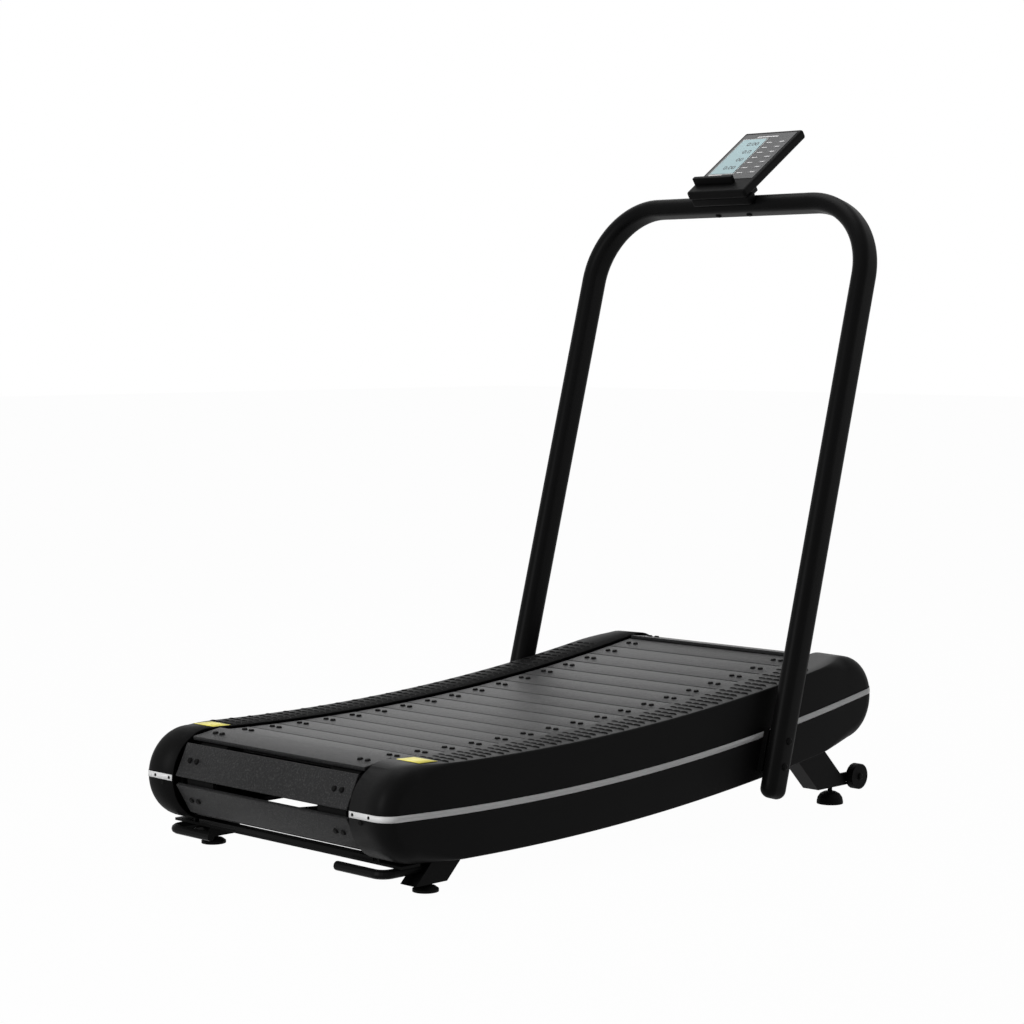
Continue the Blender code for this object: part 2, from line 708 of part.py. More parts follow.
def cover_slab(name, sign, inset, low, high, made_of, home):
    """A solid with a cover's outline, its outer edge rounded by a radius that varies round it."""
    shape = bmesh.new()
    stations = cover_stations(inset)
    turns = 4
    layers = [[shape.verts.new((sign * low, y, z)) for y, z, _, _, _ in stations]]
    for k in range(turns + 1):
        turn = math.radians(90) * k / turns
        layer = []
        for y, z, inward_y, inward_z, rounding in stations:
            radius = max(rounding - inset, 0.0005)
            moved = radius * (1 - math.cos(turn))
            x = high - radius * (1 - math.sin(turn))
            layer.append(shape.verts.new((sign * x, y + inward_y * moved, z + inward_z * moved)))
        layers.append(layer)
    count = len(stations)
    for one, two in zip(layers, layers[1:]):
        for i in range(count):
            j = (i + 1) % count
            shape.faces.new((one[i], one[j], two[j], two[i]))
    shape.faces.new(layers[0])
    shape.faces.new(layers[-1])
    bmesh.ops.recalc_face_normals(shape, faces=shape.faces)
    return from_bmesh(name, shape, made_of, home)


def covers():
    """A shell over each side plate: foot rail on top, deep outer face, both ends, open below."""
    front = FRONT_AXLE_ANGLE + COVER_NOSE / COVER_MIDDLE
    low, high = HANDLE_BOLT_HEIGHTS
    half = (high - low) / 2 / math.cos(HANDLE_LEAN) + BRACKET_MARGIN
    middle = (low + high) / 2
    for side, sign in SIDES.items():
        cover = cover_slab(
            f"cover_{side}",
            sign,
            0,
            COVER_INSIDE,
            COVER_OUTSIDE,
            black_plastic(),
            "curved_manual_treadmill",
        )
        hollow = cover_slab(
            f"cover_hollow_{side}",
            sign,
            COVER_WALL,
            COVER_INSIDE - 0.01,
            COVER_OUTSIDE - COVER_WALL,
            None,
            "cutters",
        )
        cut(cover, hollow)
        edge = COVER_MIDDLE + COVER_HALF_HEIGHT
        below = arc_points(edge - COVER_WALL - 0.004, REAR_AXLE_ANGLE + 0.004, front - 0.006, 20)
        below += arc_points(edge + 0.03, front - 0.006, REAR_AXLE_ANGLE + 0.004, 20)
        open_below = side_outline(
            f"cover_underside_{side}",
            below,
            *sorted((sign * (COVER_INSIDE - 0.01), sign * (COVER_OUTSIDE - COVER_WALL))),
            None,
            "cutters",
        )
        cut(cover, open_below)
        tab_side = SIDE_PLATE_INSIDE + SIDE_PLATE
        back = REAR_AXLE[0] - CROSS_BAR_BEHIND
        slot = block(
            f"cross_bar_slot_{side}",
            (min(sign * 0.25, sign * (tab_side + CROSS_BAR_THICKNESS + 2 * GAP)), back, 0.04),
            (
                max(sign * 0.25, sign * (tab_side + CROSS_BAR_THICKNESS + 2 * GAP)),
                back + CROSS_BAR_WIDTH + GAP,
                CROSS_BAR_TAB_TOP + GAP,
            ),
            None,
            "cutters",
        )
        cut(cover, slot)
        for i, share in enumerate(COVER_BOSS_PLACES):
            y, z = on_arc(COVER_MIDDLE - 0.02, REAR_AXLE_ANGLE + share * DECK_ANGLE)
            boss = rod(
                f"cover_boss_{side}_{i}",
                COVER_BOSS_RADIUS,
                (sign * (SIDE_PLATE_INSIDE + SIDE_PLATE + GAP), y, z),
                (sign * (COVER_OUTSIDE - 0.001), y, z),
                None,
                "cutters",
                sides=16,
            )
            join(cover, boss)
        opening = block(
            f"cover_opening_{side}",
            (min(sign * 0.30, sign * 0.38), -BRACKET_DEPTH / 2 - GAP, -half - GAP),
            (max(sign * 0.30, sign * 0.38), BRACKET_DEPTH / 2 + GAP, half + GAP),
            None,
            "cutters",
            Matrix.Translation((0, upright_y(middle), middle)) @ handle_lean(),
        )
        cut(cover, opening)


# ---- Handle --------------------------------------------------------------------------------------
def stadium_points(width, depth, steps=6):
    """A flat oval about the origin: half-round ends of the width's radius, up and down the depth."""
    radius, flat = width / 2, (depth - width) / 2
    points = []
    for sign, first in ((1, 0), (-1, math.pi)):
        for i in range(steps + 1):
            turn = first + math.pi * i / steps
            points.append((radius * math.cos(turn), sign * flat + radius * math.sin(turn)))
    return points


def poly_curve(name, points, cyclic, home):
    data = bpy.data.curves.new(name, "CURVE")
    data.dimensions = "2D"
    line = data.splines.new("POLY")
    line.points.add(len(points) - 1)
    for point, (x, y) in zip(line.points, points):
        point.co = (x, y, 0, 1)
    line.use_cyclic_u = cyclic
    piece = bpy.data.objects.new(name, data)
    bpy.data.collections[home].objects.link(piece)
    return piece


def handle_plane():
    """Stands a drawing of the handle, made about the floor point of its uprights, up in its lean."""
    foot = Vector((0, upright_y(0), 0))
    axes = Matrix(
        ((1, 0, 0, 0), (0, LEAN_UP.y, LEAN_OUT.y, 0), (0, LEAN_UP.z, LEAN_OUT.z, 0), (0, 0, 0, 1))
    )
    turn = Matrix.Identity(4)
    for row in range(3):
        turn[row][0] = axes[row][0]
        turn[row][1] = axes[row][1]
        turn[row][2] = -axes[row][2]
    return Matrix.Translation(foot) @ turn


def handle_path():
    """Half of the U, from the lower end of the right upright to the middle of the hand bar."""
    low = HANDLE_LOW / math.cos(HANDLE_LEAN)
    top = HANDLE_HEIGHT / math.cos(HANDLE_LEAN)
    centre = (HANDLE_HALF_WIDTH - HANDLE_BEND, top - HANDLE_BEND)
    points = [(HANDLE_HALF_WIDTH, low)]
    steps = 9
    for i in range(steps + 1):
        turn = math.radians(90) * i / steps
        points.append(
            (centre[0] + HANDLE_BEND * math.cos(turn), centre[1] + HANDLE_BEND * math.sin(turn))
        )
    return points


def handle_tube(name, extra, made_of, home):
    """The handle's tube, larger all round by extra."""
    half = handle_path()
    points = half + [(-x, y) for x, y in reversed(half)]
    outline = stadium_points(TUBE_THICKNESS + 2 * extra, TUBE_DEPTH + 2 * extra)
    section = poly_curve(f"{name}_section", outline, True, "cutters")
    section.hide_render = True
    tube = poly_curve(name, points, False, home)
    tube.data.bevel_mode = "OBJECT"
    tube.data.bevel_object = section
    tube.data.use_fill_caps = True
    tube.data.fill_mode = "NONE" if tube.data.dimensions == "3D" else "BOTH"
    if made_of is not None:
        tube.data.materials.append(made_of)
    tube.matrix_world = handle_plane()
    bpy.context.view_layer.update()
    made = meshed(tube)
    bpy.data.objects.remove(section, do_unlink=True)
    return made


def bolt(name, shank, length, head, head_height, turn, made_of, home="curved_manual_treadmill"):
    """A button-head bolt: its head starts at the origin of turn and rises along +Z."""
    profile = [
        (0, head_height),
        (head * 0.6, head_height),
        (head * 0.92, head_height * 0.6),
        (head, 0),
        (shank, 0),
        (shank, -length),
        (0, -length),
    ]
    piece = turned(name, profile, made_of, home, sides=16)
    piece.matrix_world = turn
    return piece


def along_x(sign, x, y, z):
    """Turns +Z outwards along X on the side of the sign, and moves it to the point."""
    return Matrix.Translation((sign * x, y, z)) @ Matrix.Rotation(math.radians(90 * sign), 4, "Y")


def handle():
    tube = handle_tube("handlebar", 0, black_paint(), "curved_manual_treadmill")
    outside = HANDLE_HALF_WIDTH + TUBE_THICKNESS / 2
    shank = outside - (SIDE_PLATE_INSIDE + SIDE_PLATE + 0.040)
    for side, sign in SIDES.items():
        for number, height in enumerate(HANDLE_BOLT_HEIGHTS, 1):
            y = upright_y(height)
            hole = rod(
                f"handlebar_hole_{side}_{number}",
                HANDLE_BOLT_RADIUS + GAP,
                (sign * (outside - TUBE_THICKNESS - 0.01), y, height),
                (sign * (outside + 0.01), y, height),
                None,
                "cutters",
            )
            cut(tube, hole)
            bolt(
                f"handle_bolt_{side}_{number}",
                HANDLE_BOLT_RADIUS,
                shank,
                HANDLE_BOLT_HEAD,
                0.004,
                along_x(sign, outside + GAP, y, height),
                black_bolt(),
            )
        cap = bmesh.new()
        layers = []
        for depth, inset in [(0, 0)] + [
            (
                CAP_DROP - CAP_ROUNDING * (1 - math.sin(math.radians(18 * i))),
                CAP_ROUNDING * (1 - math.cos(math.radians(18 * i))),
            )
            for i in range(6)
        ]:
            ring_points = stadium_points(TUBE_THICKNESS - 2 * inset, TUBE_DEPTH - 2 * inset)
            layers.append([cap.verts.new((x, y, -depth)) for x, y in ring_points])
        for one, two in zip(layers, layers[1:]):
            for i in range(len(one)):
                j = (i + 1) % len(one)
                cap.faces.new((one[i], one[j], two[j], two[i]))
        cap.faces.new(layers[0])
        cap.faces.new(layers[-1])
        bmesh.ops.recalc_face_normals(cap, faces=cap.faces)
        down = HANDLE_LOW / math.cos(HANDLE_LEAN) - GAP
        made = from_bmesh(
            f"handle_cap_{side}", cap, black_plastic(), "curved_manual_treadmill"
        )
        made.matrix_world = (
            Matrix.Translation((sign * HANDLE_HALF_WIDTH, upright_y(0), 0))
            @ handle_lean()
            @ Matrix.Translation((0, 0, down))
        )
    return tube


# ---- Legs, feet and wheels -----------------------------------------------------------------------
def foot_y(end):
    return FRONT_AXLE[0] + FOOT_FRONT if end == "front" else REAR_AXLE[0] + FOOT_REAR


def leg(end, side):
    """A raked box leg from inside the cover down to its foot, with a pad against the side plate."""
    sign = SIDES[side]
    ahead = 1 if end == "front" else -1
    under = LEG_FRONT_HEIGHT if end == "front" else LEG_REAR_HEIGHT
    tip = foot_y(end) + ahead * (FOOT_FROM_TIP_FRONT if end == "front" else FOOT_FROM_TIP_REAR)
    heel = tip - ahead * (LEG_LENGTH_FRONT if end == "front" else LEG_LENGTH_REAR)
    seen = math.asin((heel - LOW_Y) / DECK_RADIUS)
    top = on_arc(COVER_MIDDLE + COVER_HALF_HEIGHT, seen)[1] + LEG_LAP
    run = (top - under) / math.tan(LEG_SLANT)
    outline = [(tip, under), (tip - ahead * run, top), (heel - ahead * run, top), (heel, under)]
    edges = sorted((sign * LEG_INSIDE, sign * (LEG_INSIDE + LEG_WIDTH)))
    made = side_outline(f"{end}_leg_{side}", outline, *edges, black_paint())
    pad_height = 0.026
    inside = SIDE_PLATE_INSIDE + SIDE_PLATE + GAP
    drop = pad_height / math.tan(LEG_SLANT)
    pad = side_outline(
        f"{end}_leg_pad_{side}",
        [
            (tip - ahead * (run - drop + 0.002), top - pad_height),
            (tip - ahead * (run + 0.002), top - 0.0005),
            (heel - ahead * (run - 0.002), top - 0.0005),
            (heel - ahead * (run - drop - 0.002), top - pad_height),
        ],
        *sorted((sign * inside, sign * (LEG_INSIDE + 0.010))),
        None,
        "cutters",
    )
    join(made, pad)
    hole = rod(
        f"{end}_foot_hole_{side}",
        STUD_RADIUS + GAP,
        (sign * FOOT_X, foot_y(end), under - 0.01),
        (sign * FOOT_X, foot_y(end), under + STUD_REACH + 0.004),
        None,
        "cutters",
    )
    cut(made, hole)
    return made


def foot(end, side):
    front = end == "front"
    radius = FOOT_FRONT_RADIUS if front else FOOT_REAR_RADIUS
    dome = FOOT_DOME if front else FOOT_REAR_DOME
    under = LEG_FRONT_HEIGHT if front else LEG_REAR_HEIGHT
    profile = [
        (0, under + STUD_REACH),
        (STUD_RADIUS, under + STUD_REACH),
        (STUD_RADIUS, dome),
        (radius * 0.45, dome * 0.97),
        (radius * 0.75, dome * 0.80),
        (radius * 0.93, dome * 0.52),
        (radius, 0.005),
        (radius, 0),
        (0, 0),
    ]
    made = turned(f"{end}_foot_{side}", profile, rubber(), sides=28)
    made.location = (SIDES[side] * FOOT_X, foot_y(end), 0)


def wheel(side, made_leg):
    """A transport wheel ahead of a front leg, on a bolt through a plate welded to the leg."""
    sign = SIDES[side]
    y = foot_y("front") + WHEEL_AHEAD
    plate_outside = WHEEL_X - WHEEL_WIDTH / 2 - 2 * GAP
    half = WHEEL_PLATE_HEIGHT / 2
    outline = [(y - 0.075, WHEEL_HEIGHT - half)]
    for i in range(9):
        turn = math.radians(-90 + 180 * i / 8)
        outline.append((y + half * math.cos(turn), WHEEL_HEIGHT + half * math.sin(turn)))
    outline.append((y - 0.075, WHEEL_HEIGHT + half))
    edges = sorted((sign * (plate_outside - WHEEL_PLATE), sign * plate_outside))
    join(made_leg, side_outline(f"wheel_plate_{side}", outline, *edges, None, "cutters"))
    hole = rod(
        f"wheel_bolt_hole_{side}",
        WHEEL_BOLT_RADIUS + GAP,
        (sign * (plate_outside - WHEEL_PLATE - 0.01), y, WHEEL_HEIGHT),
        (sign * (plate_outside + 0.01), y, WHEEL_HEIGHT),
        None,
        "cutters",
    )
    cut(made_leg, hole)
    ring(
        f"transport_wheel_{side}",
        WHEEL_BOLT_RADIUS + GAP,
        WHEEL_RADIUS,
        *sorted((sign * (WHEEL_X - WHEEL_WIDTH / 2), sign * (WHEEL_X + WHEEL_WIDTH / 2))),
        (y, WHEEL_HEIGHT),
        rubber(),
        sides=36,
    )
    bolt(
        f"wheel_bolt_{side}",
        WHEEL_BOLT_RADIUS,
        WHEEL_WIDTH + WHEEL_PLATE + 0.004,
        WHEEL_BOLT_HEAD,
        0.004,
        along_x(sign, WHEEL_X + WHEEL_WIDTH / 2 + GAP, y, WHEEL_HEIGHT),
        black_bolt(),
    )


def lift_rod(side, made_leg):
    """A bent rod behind a rear leg: fingers hook under it to tip the machine onto its wheels."""
    sign = SIDES[side]
    y = REAR_AXLE[0] - LIFT_ROD_BEHIND
    tip = foot_y("rear") - FOOT_FROM_TIP_REAR
    entry = tip + (LIFT_ROD_HEIGHT - LEG_REAR_HEIGHT) / math.tan(LEG_SLANT)
    end = entry + LIFT_ROD_SOCKET
    points = [(LIFT_ROD_INNER, y)]
    for i in range(7):
        turn = math.radians(-90 + 90 * i / 6)
        points.append(
            (
                FOOT_X - LIFT_ROD_BEND + LIFT_ROD_BEND * math.cos(turn),
                y + LIFT_ROD_BEND + LIFT_ROD_BEND * math.sin(turn),
            )
        )
    points.append((FOOT_X, end))
    path = poly_curve(
        f"lifting_rod_{side}", [(sign * x, v) for x, v in points], False, "curved_manual_treadmill"
    )
    path.data.dimensions = "3D"
    path.data.bevel_depth = LIFT_ROD_RADIUS
    path.data.bevel_resolution = 3
    path.data.use_fill_caps = True
    path.data.materials.append(black_paint())
    path.location = (0, 0, LIFT_ROD_HEIGHT)
    bpy.context.view_layer.update()
    meshed(path)
    socket = rod(
        f"lifting_rod_socket_{side}",
        LIFT_ROD_RADIUS + GAP,
        (sign * FOOT_X, entry - 0.03, LIFT_ROD_HEIGHT),
        (sign * FOOT_X, end + GAP, LIFT_ROD_HEIGHT),
        None,
        "cutters",
    )
    cut(made_leg, socket)


def undercarriage():
    for side in SIDES:
        for end in ("front", "rear"):
            made = leg(end, side)
            foot(end, side)
            if end == "front":
                wheel(side, made)
            else:
                lift_rod(side, made)


# ---- Console -------------------------------------------------------------------------------------
def console_plane(along=0.0, out=0.0, across=0.0):
    """Places a drawing on the console: X across, Y up the face, Z out of it, from its lower edge."""
    place = HAND_BAR + FACE * (CONSOLE_LOW + along) + NORMAL * (CONSOLE_OUT + out)
    turn = Matrix.Rotation(CONSOLE_TILT, 4, "X")
    return Matrix.Translation(place + Vector((across, 0, 0))) @ turn


def rounded_slab(name, low, high, edge, made_of, turn, segments=3):
    piece = block(name, low, high, made_of, turn=turn)
    bevel = piece.modifiers.new("round", "BEVEL")
    bevel.width = edge
    bevel.segments = segments
    bevel.limit_method = "ANGLE"
    return piece


def key_places():
    return [(KEY_X, KEY_FIRST + i * KEY_PITCH) for i in range(KEY_COUNT)]


def console():
    half = CONSOLE_WIDTH / 2
    housing = rounded_slab(
        "console_housing",
        (-half, 0, -CONSOLE_THICKNESS),
        (half, CONSOLE_LENGTH, 0),
        CONSOLE_EDGE,
        black_plastic(),
        console_plane(),
        segments=4,
    )
    width, length = DISPLAY_SIZE
    x, y = DISPLAY_MIDDLE
    depth = DISPLAY_THICKNESS + GAP
    recess = block(
        "display_recess",
        (x - width / 2 - GAP, y - length / 2 - GAP, -depth),
        (x + width / 2 + GAP, y + length / 2 + GAP, 0.01),
        None,
        "cutters",
        console_plane(),
    )
    cut(housing, recess)
    block(
        "display",
        (x - width / 2, y - length / 2, -DISPLAY_THICKNESS),
        (x + width / 2, y + length / 2, 0),
        material("display_glass", (0.45, 0.48, 0.5), 0.15),
        turn=console_plane(),
    )
    key_width, key_length = KEY_SIZE
    for number, (x, y) in enumerate(key_places(), 1):
        well = block(
            f"key_well_{number}",
            (x - key_width / 2 - GAP, y - key_length / 2 - GAP, -KEY_WELL),
            (x + key_width / 2 + GAP, y + key_length / 2 + GAP, 0.01),
            None,
            "cutters",
            console_plane(),
        )
        cut(housing, well)
        block(
            f"key_{number}",
            (-key_width / 2, -key_length / 2, -KEY_HEIGHT),
            (key_width / 2, key_length / 2, 0),
            material("key_rubber", (0.05, 0.05, 0.055), 0.6),
        ).matrix_world = console_plane(y, KEY_STAND, x)
    ledge_depth = LEDGE_THICKNESS
    rounded_slab(
        "phone_ledge",
        (LEDGE_SPAN[0], LEDGE_PLACE, GAP),
        (LEDGE_SPAN[1], LEDGE_PLACE + ledge_depth, LEDGE_HEIGHT),
        0.0015,
        black_plastic(),
        console_plane(),
        segments=2,
    )
    width, length, depth = BATTERY_SIZE
    rounded_slab(
        "battery_cover",
        (-width / 2, BATTERY_PLACE, -CONSOLE_THICKNESS - GAP - depth),
        (width / 2, BATTERY_PLACE + length, -CONSOLE_THICKNESS - GAP),
        0.003,
        black_plastic(),
        console_plane(),
        segments=2,
    )
    low, high = (span - CONSOLE_LOW for span in MOUNT_SPAN)
    mount = block(
        "console_mount",
        (-MOUNT_HALF_WIDTH, low, -MOUNT_DEPTH),
        (MOUNT_HALF_WIDTH, high, -CONSOLE_THICKNESS - GAP),
        black_plastic(),
        turn=console_plane(),
    )
    cut(mount, handle_tube("console_mount_seat", GAP, None, "cutters"))
    return mount


def console_bolts(mount, tube):
    """Bolts up through the hand bar into the console's mount."""
    for side, sign in SIDES.items():
        x = sign * MOUNT_BOLT_X
        under = HAND_BAR + Vector((x, 0, 0)) - LEAN_UP * (TUBE_THICKNESS / 2 + GAP)
        tip = HAND_BAR + Vector((x, 0, 0)) + LEAN_UP * (TUBE_THICKNESS / 2 + MOUNT_BOLT_BITE)
        for piece, label in ((mount, "mount"), (tube, "bar")):
            hole = rod(
                f"console_bolt_hole_{label}_{side}",
                MOUNT_BOLT_RADIUS + GAP,
                under - LEAN_UP * 0.01,
                tip + LEAN_UP * 0.001,
                None,
                "cutters",
            )
            cut(piece, hole)
        down = Matrix.Translation(under) @ (-LEAN_UP).to_track_quat("Z", "X").to_matrix().to_4x4()
        bolt(
            f"console_bolt_{side}",
            MOUNT_BOLT_RADIUS,
            (tip - under).length,
            MOUNT_BOLT_RADIUS * 1.8,
            0.0035,
            down,
            black_bolt(),
        )


def sensor():
    """The speed sensor on the left side plate, beside the front pulley."""
    width, depth, height = SENSOR_SIZE
    outside = SIDE_PLATE_INSIDE - GAP
    y, z = on_arc(AXLE_RADIUS, FRONT_AXLE_ANGLE - SENSOR_PLACE)
    block(
        "speed_sensor",
        (-outside, y - depth / 2, z - height / 2),
        (-outside + width, y + depth / 2, z + height / 2),
        black_plastic(),
    )


def set_origin(name, x, y, z):
    """Moves an object's origin to the point, leaving its shape where it is."""
    piece = bpy.data.objects[name]
    to_local = piece.matrix_world.inverted() @ Matrix.Translation((x, y, z))
    piece.data.transform(to_local.inverted())
    piece.matrix_world = piece.matrix_world @ to_local


def main():
    start_scene()
    belt()
    running_gear()
    roller_rails()
    side_frames()
    cross_members()
    covers()
    tube = handle()
    undercarriage()
    mount = console()
    console_bolts(mount, tube)
    sensor()
    set_origin("belt_top_run", 0, *DECK_CENTRE)
    set_origin("belt_bottom_run", 0, *BOTTOM_CENTRE)
    for end, axle in (("rear", REAR_AXLE), ("front", FRONT_AXLE)):
        set_origin(f"belt_{end}_wrap", 0, *axle)
        set_origin(f"{end}_shaft", 0, *axle)


main()
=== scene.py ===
"""Curved manual treadmill: its looks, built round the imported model. X across, +Y forward, +Z up."""

import math

import bmesh
import bpy
from bpy.props import FloatProperty, FloatVectorProperty, IntProperty, PointerProperty
from mathutils import Euler, Matrix, Vector


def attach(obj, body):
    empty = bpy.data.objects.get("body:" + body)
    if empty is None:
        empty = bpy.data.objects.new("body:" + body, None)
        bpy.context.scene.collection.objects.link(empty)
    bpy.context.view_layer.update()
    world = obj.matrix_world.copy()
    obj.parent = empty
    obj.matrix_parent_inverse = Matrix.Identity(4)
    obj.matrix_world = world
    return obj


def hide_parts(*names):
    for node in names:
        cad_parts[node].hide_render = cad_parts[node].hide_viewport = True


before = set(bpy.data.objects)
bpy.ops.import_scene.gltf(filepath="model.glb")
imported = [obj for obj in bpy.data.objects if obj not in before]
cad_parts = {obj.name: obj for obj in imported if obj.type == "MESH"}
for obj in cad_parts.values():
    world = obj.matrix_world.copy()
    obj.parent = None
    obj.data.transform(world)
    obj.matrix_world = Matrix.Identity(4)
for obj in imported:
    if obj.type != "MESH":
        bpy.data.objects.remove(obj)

bl_info = {
    "name": "Curved manual treadmill",
    "version": (1, 0, 0),
    "blender": (4, 5, 0),
    "location": "View3D > Sidebar > Treadmill",
    "description": "Builds the treadmill's belt, covers, handle, console and a plain studio",
    "category": "Object",
}

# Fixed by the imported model
SLAT_PITCH = 0.072
SLAT_COUNT = 42
FIRST_SLAT = 0.19  # pitches from the rear wrap's start
SURFACE = 0.0108  # running surface above the belt's pitch line
DECK_CENTRE = (-0.43202, 6.307)  # (Y, Z) of the running surface's arc
BOTTOM_CENTRE = (-0.22731, 3.04846)
BOTTOM_RADIUS = 3.0
REAR_AXLE = (-0.68437, 0.15788)
FRONT_AXLE = (0.58792, 0.23780)
WRAP_RADIUS = 0.0735
REAR_ANGLE = math.radians(-2.35)
DECK_ANGLE = 0.207511
BOTTOM_ANGLE = 0.439125
WRAP_TURN = 3.088823
SIDES = {"left": -1, "right": 1}
HANDLE_LEAN = math.atan(0.275)
HANDLE_LOW = 0.086  # lower end of the tube
CONSOLE_TILT = math.radians(34.5)
KEY_COUNT, KEY_FIRST, KEY_PITCH = 7, 0.076, 0.0215
CONSOLE_CORNER = (-0.0444, 0.0683)  # the face's lower edge from the hand bar, along and out
COVER_RISE = 0.003  # a foot rail above the running surface
COVER_NOSE = 0.008  # a cover's front end ahead of the front axle
COVER_EDGE = 0.004  # rounding of a rail's outer edge
CROSS_BAR_BEHIND = 0.030  # its rear edge behind the rear axle
CROSS_BAR_TOP = 0.0600
HAND_BAR = Vector((0, 0.62910, 1.317))

# Of the looks alone
COVER_WALL = 0.0028
COVER_RAMP = 0.10  # over which a rail's edge grows into the corner's rounding
CAP_DROP = 0.026
CAP_ROUNDING = 0.0195
FILM = 0.0006
INK_LEVEL = 0.0009  # the console's printed face above its housing
END_SCREWS = ((0.272, 0.0, 0.0042), (0.316, 0.0, 0.0042), (0.293, 0.012, 0.0056))  # across, below, radius
FLOOR_WHITE = 0.98  # share of plain white in the floor as it is seen


def size(name, text, default):
    return FloatProperty(name=name, description=text, default=default, unit="LENGTH", precision=4)


def colour(name, text, default):
    return FloatVectorProperty(
        name=name, description=text, default=default, subtype="COLOR", size=3, min=0, max=1
    )


class TreadmillSizes(bpy.types.PropertyGroup):
    slat_width: size("Slat width", "A slat along the belt", 0.0695)
    slat_length: size("Slat length", "A slat across the belt", 0.507)
    deck_radius: size("Deck radius", "Radius of the running surface", 6.07)
    rail_inside: size("Rail inside", "Centre line to a cover's inner edge", 0.262)
    rail_outside: size("Rail outside", "Centre line to a cover's outer face", 0.360)
    cover_half: size("Cover half height", "Half of a cover's height", 0.092)
    cover_corner: size("Cover corner", "Rounding of a cover's upright corners", 0.032)
    stripe_width: size("Stripe width", "Width of the pale stripe", 0.012)
    dash_length: size("Dash length", "A raised dash on a foot rail", 0.0225)
    tube_width: size("Tube width", "The handle's tube across the machine", 0.040)
    tube_depth: size("Tube depth", "The handle's tube along the machine", 0.062)
    handle_half: size("Handle half width", "Centre line to an upright", 0.394)
    handle_bend: size("Handle bend", "Radius of the handle's bends", 0.170)
    dash_rows: IntProperty(name="Dash rows", description="Rows of dashes along a rail", default=46, min=1)


class TreadmillColours(bpy.types.PropertyGroup):
    slat: colour("Slats", "Running surface", (0.014, 0.014, 0.0145))
    cover: colour("Covers", "Side covers and foot rails", (0.0042, 0.0042, 0.0043))
    paint: colour("Paint", "Handle, legs and frame", (0.0042, 0.0042, 0.0043))
    stripe: colour("Stripe", "Stripe along the covers", (0.75, 0.75, 0.75))
    rubber: colour("Rubber", "Feet, wheels and belts", (0.006, 0.006, 0.006))
    screen: colour("Screen", "Unlit display", (0.36, 0.52, 0.55))
    floor: colour("Floor", "Studio floor", (0.55, 0.55, 0.55))


def sizes():
    return bpy.context.scene.treadmill_sizes


def colours():
    return bpy.context.scene.treadmill_colours


# ---- Materials -----------------------------------------------------------------------------------
def finish(
    name, base, roughness, metallic=0.0, scale=400.0, bump=0.1, vary=0.25, stretch=(1, 1, 1), sheen_specks=0.0,
    gloss=0.5, relief_depth=0.0004,
):
    """A Principled finish with fine grain, cloudy wear and, on request, pale specks of painted sheen."""
    made = bpy.data.materials.get(name)
    if made:
        return made
    made = bpy.data.materials.new(name)
    made.use_nodes = True
    tree = made.node_tree
    new, link = tree.nodes.new, tree.links.new
    shader = tree.nodes["Principled BSDF"]
    shader.inputs["Metallic"].default_value = metallic
    shader.inputs["Specular IOR Level"].default_value = gloss
    coords = new("ShaderNodeTexCoord")
    mapping = new("ShaderNodeMapping")
    mapping.inputs["Scale"].default_value = stretch
    link(coords.outputs["Object"], mapping.inputs["Vector"])
    grain = new("ShaderNodeTexNoise")
    grain.inputs["Scale"].default_value = scale
    grain.inputs["Detail"].default_value = 4
    cloud = new("ShaderNodeTexNoise")
    cloud.inputs["Scale"].default_value = 7
    cloud.inputs["Detail"].default_value = 3
    for noise in (grain, cloud):
        link(mapping.outputs["Vector"], noise.inputs["Vector"])
    tint = new("ShaderNodeValToRGB")
    tint.color_ramp.elements[0].position = 0.3
    tint.color_ramp.elements[0].color = (*[c * (1 - vary) for c in base], 1)
    tint.color_ramp.elements[1].position = 0.7
    tint.color_ramp.elements[1].color = (*[min(1, c * (1 + vary)) for c in base], 1)
    link(cloud.outputs["Fac"], tint.inputs["Fac"])
    shade = tint.outputs["Color"]
    # Pale specks painted into the base colour: a painted highlight that stands in for a speckled sheen.
    if sheen_specks:
        sheen_dots = new("ShaderNodeTexNoise")
        sheen_dots.inputs["Scale"].default_value = 330
        sheen_dots.inputs["Detail"].default_value = 1
        link(mapping.outputs["Vector"], sheen_dots.inputs["Vector"])
        sheen_mask = new("ShaderNodeMapRange")
        sheen_mask.inputs["From Min"].default_value = 0.54
        sheen_mask.inputs["From Max"].default_value = 0.66
        link(sheen_dots.outputs["Fac"], sheen_mask.inputs["Value"])
        mix = new("ShaderNodeMix")
        mix.data_type = "RGBA"
        link(sheen_mask.outputs["Result"], mix.inputs["Factor"])
        link(shade, mix.inputs["A"])
        mix.inputs["B"].default_value = (sheen_specks, sheen_specks, sheen_specks, 1)
        shade = mix.outputs["Result"]
    link(shade, shader.inputs["Base Color"])
    rough = new("ShaderNodeMapRange")
    rough.inputs["To Min"].default_value = max(0.02, roughness - 0.08)
    rough.inputs["To Max"].default_value = min(1, roughness + 0.08)
    link(grain.outputs["Fac"], rough.inputs["Value"])
    link(rough.outputs["Result"], shader.inputs["Roughness"])
    relief = new("ShaderNodeBump")
    relief.inputs["Strength"].default_value = bump
    relief.inputs["Distance"].default_value = relief_depth
    link(grain.outputs["Fac"], relief.inputs["Height"])
    link(relief.outputs["Normal"], shader.inputs["Normal"])
    return made


def slat_finish():
    # The pale specks here are a painted sheen on the slats, put into their colour.
    return finish(
        "moulded_slat", colours().slat, 0.45, scale=420, bump=0.8, vary=0.12, sheen_specks=0.035, gloss=0.10,
        relief_depth=0.0015,
    )


def cover_finish():
    return finish("moulded_cover", colours().cover, 0.48, scale=520, bump=0.18, vary=0.15, gloss=0.04)


def paint():
    return finish("satin_paint", colours().paint, 0.42, scale=900, bump=0.04, vary=0.15, gloss=0.04)


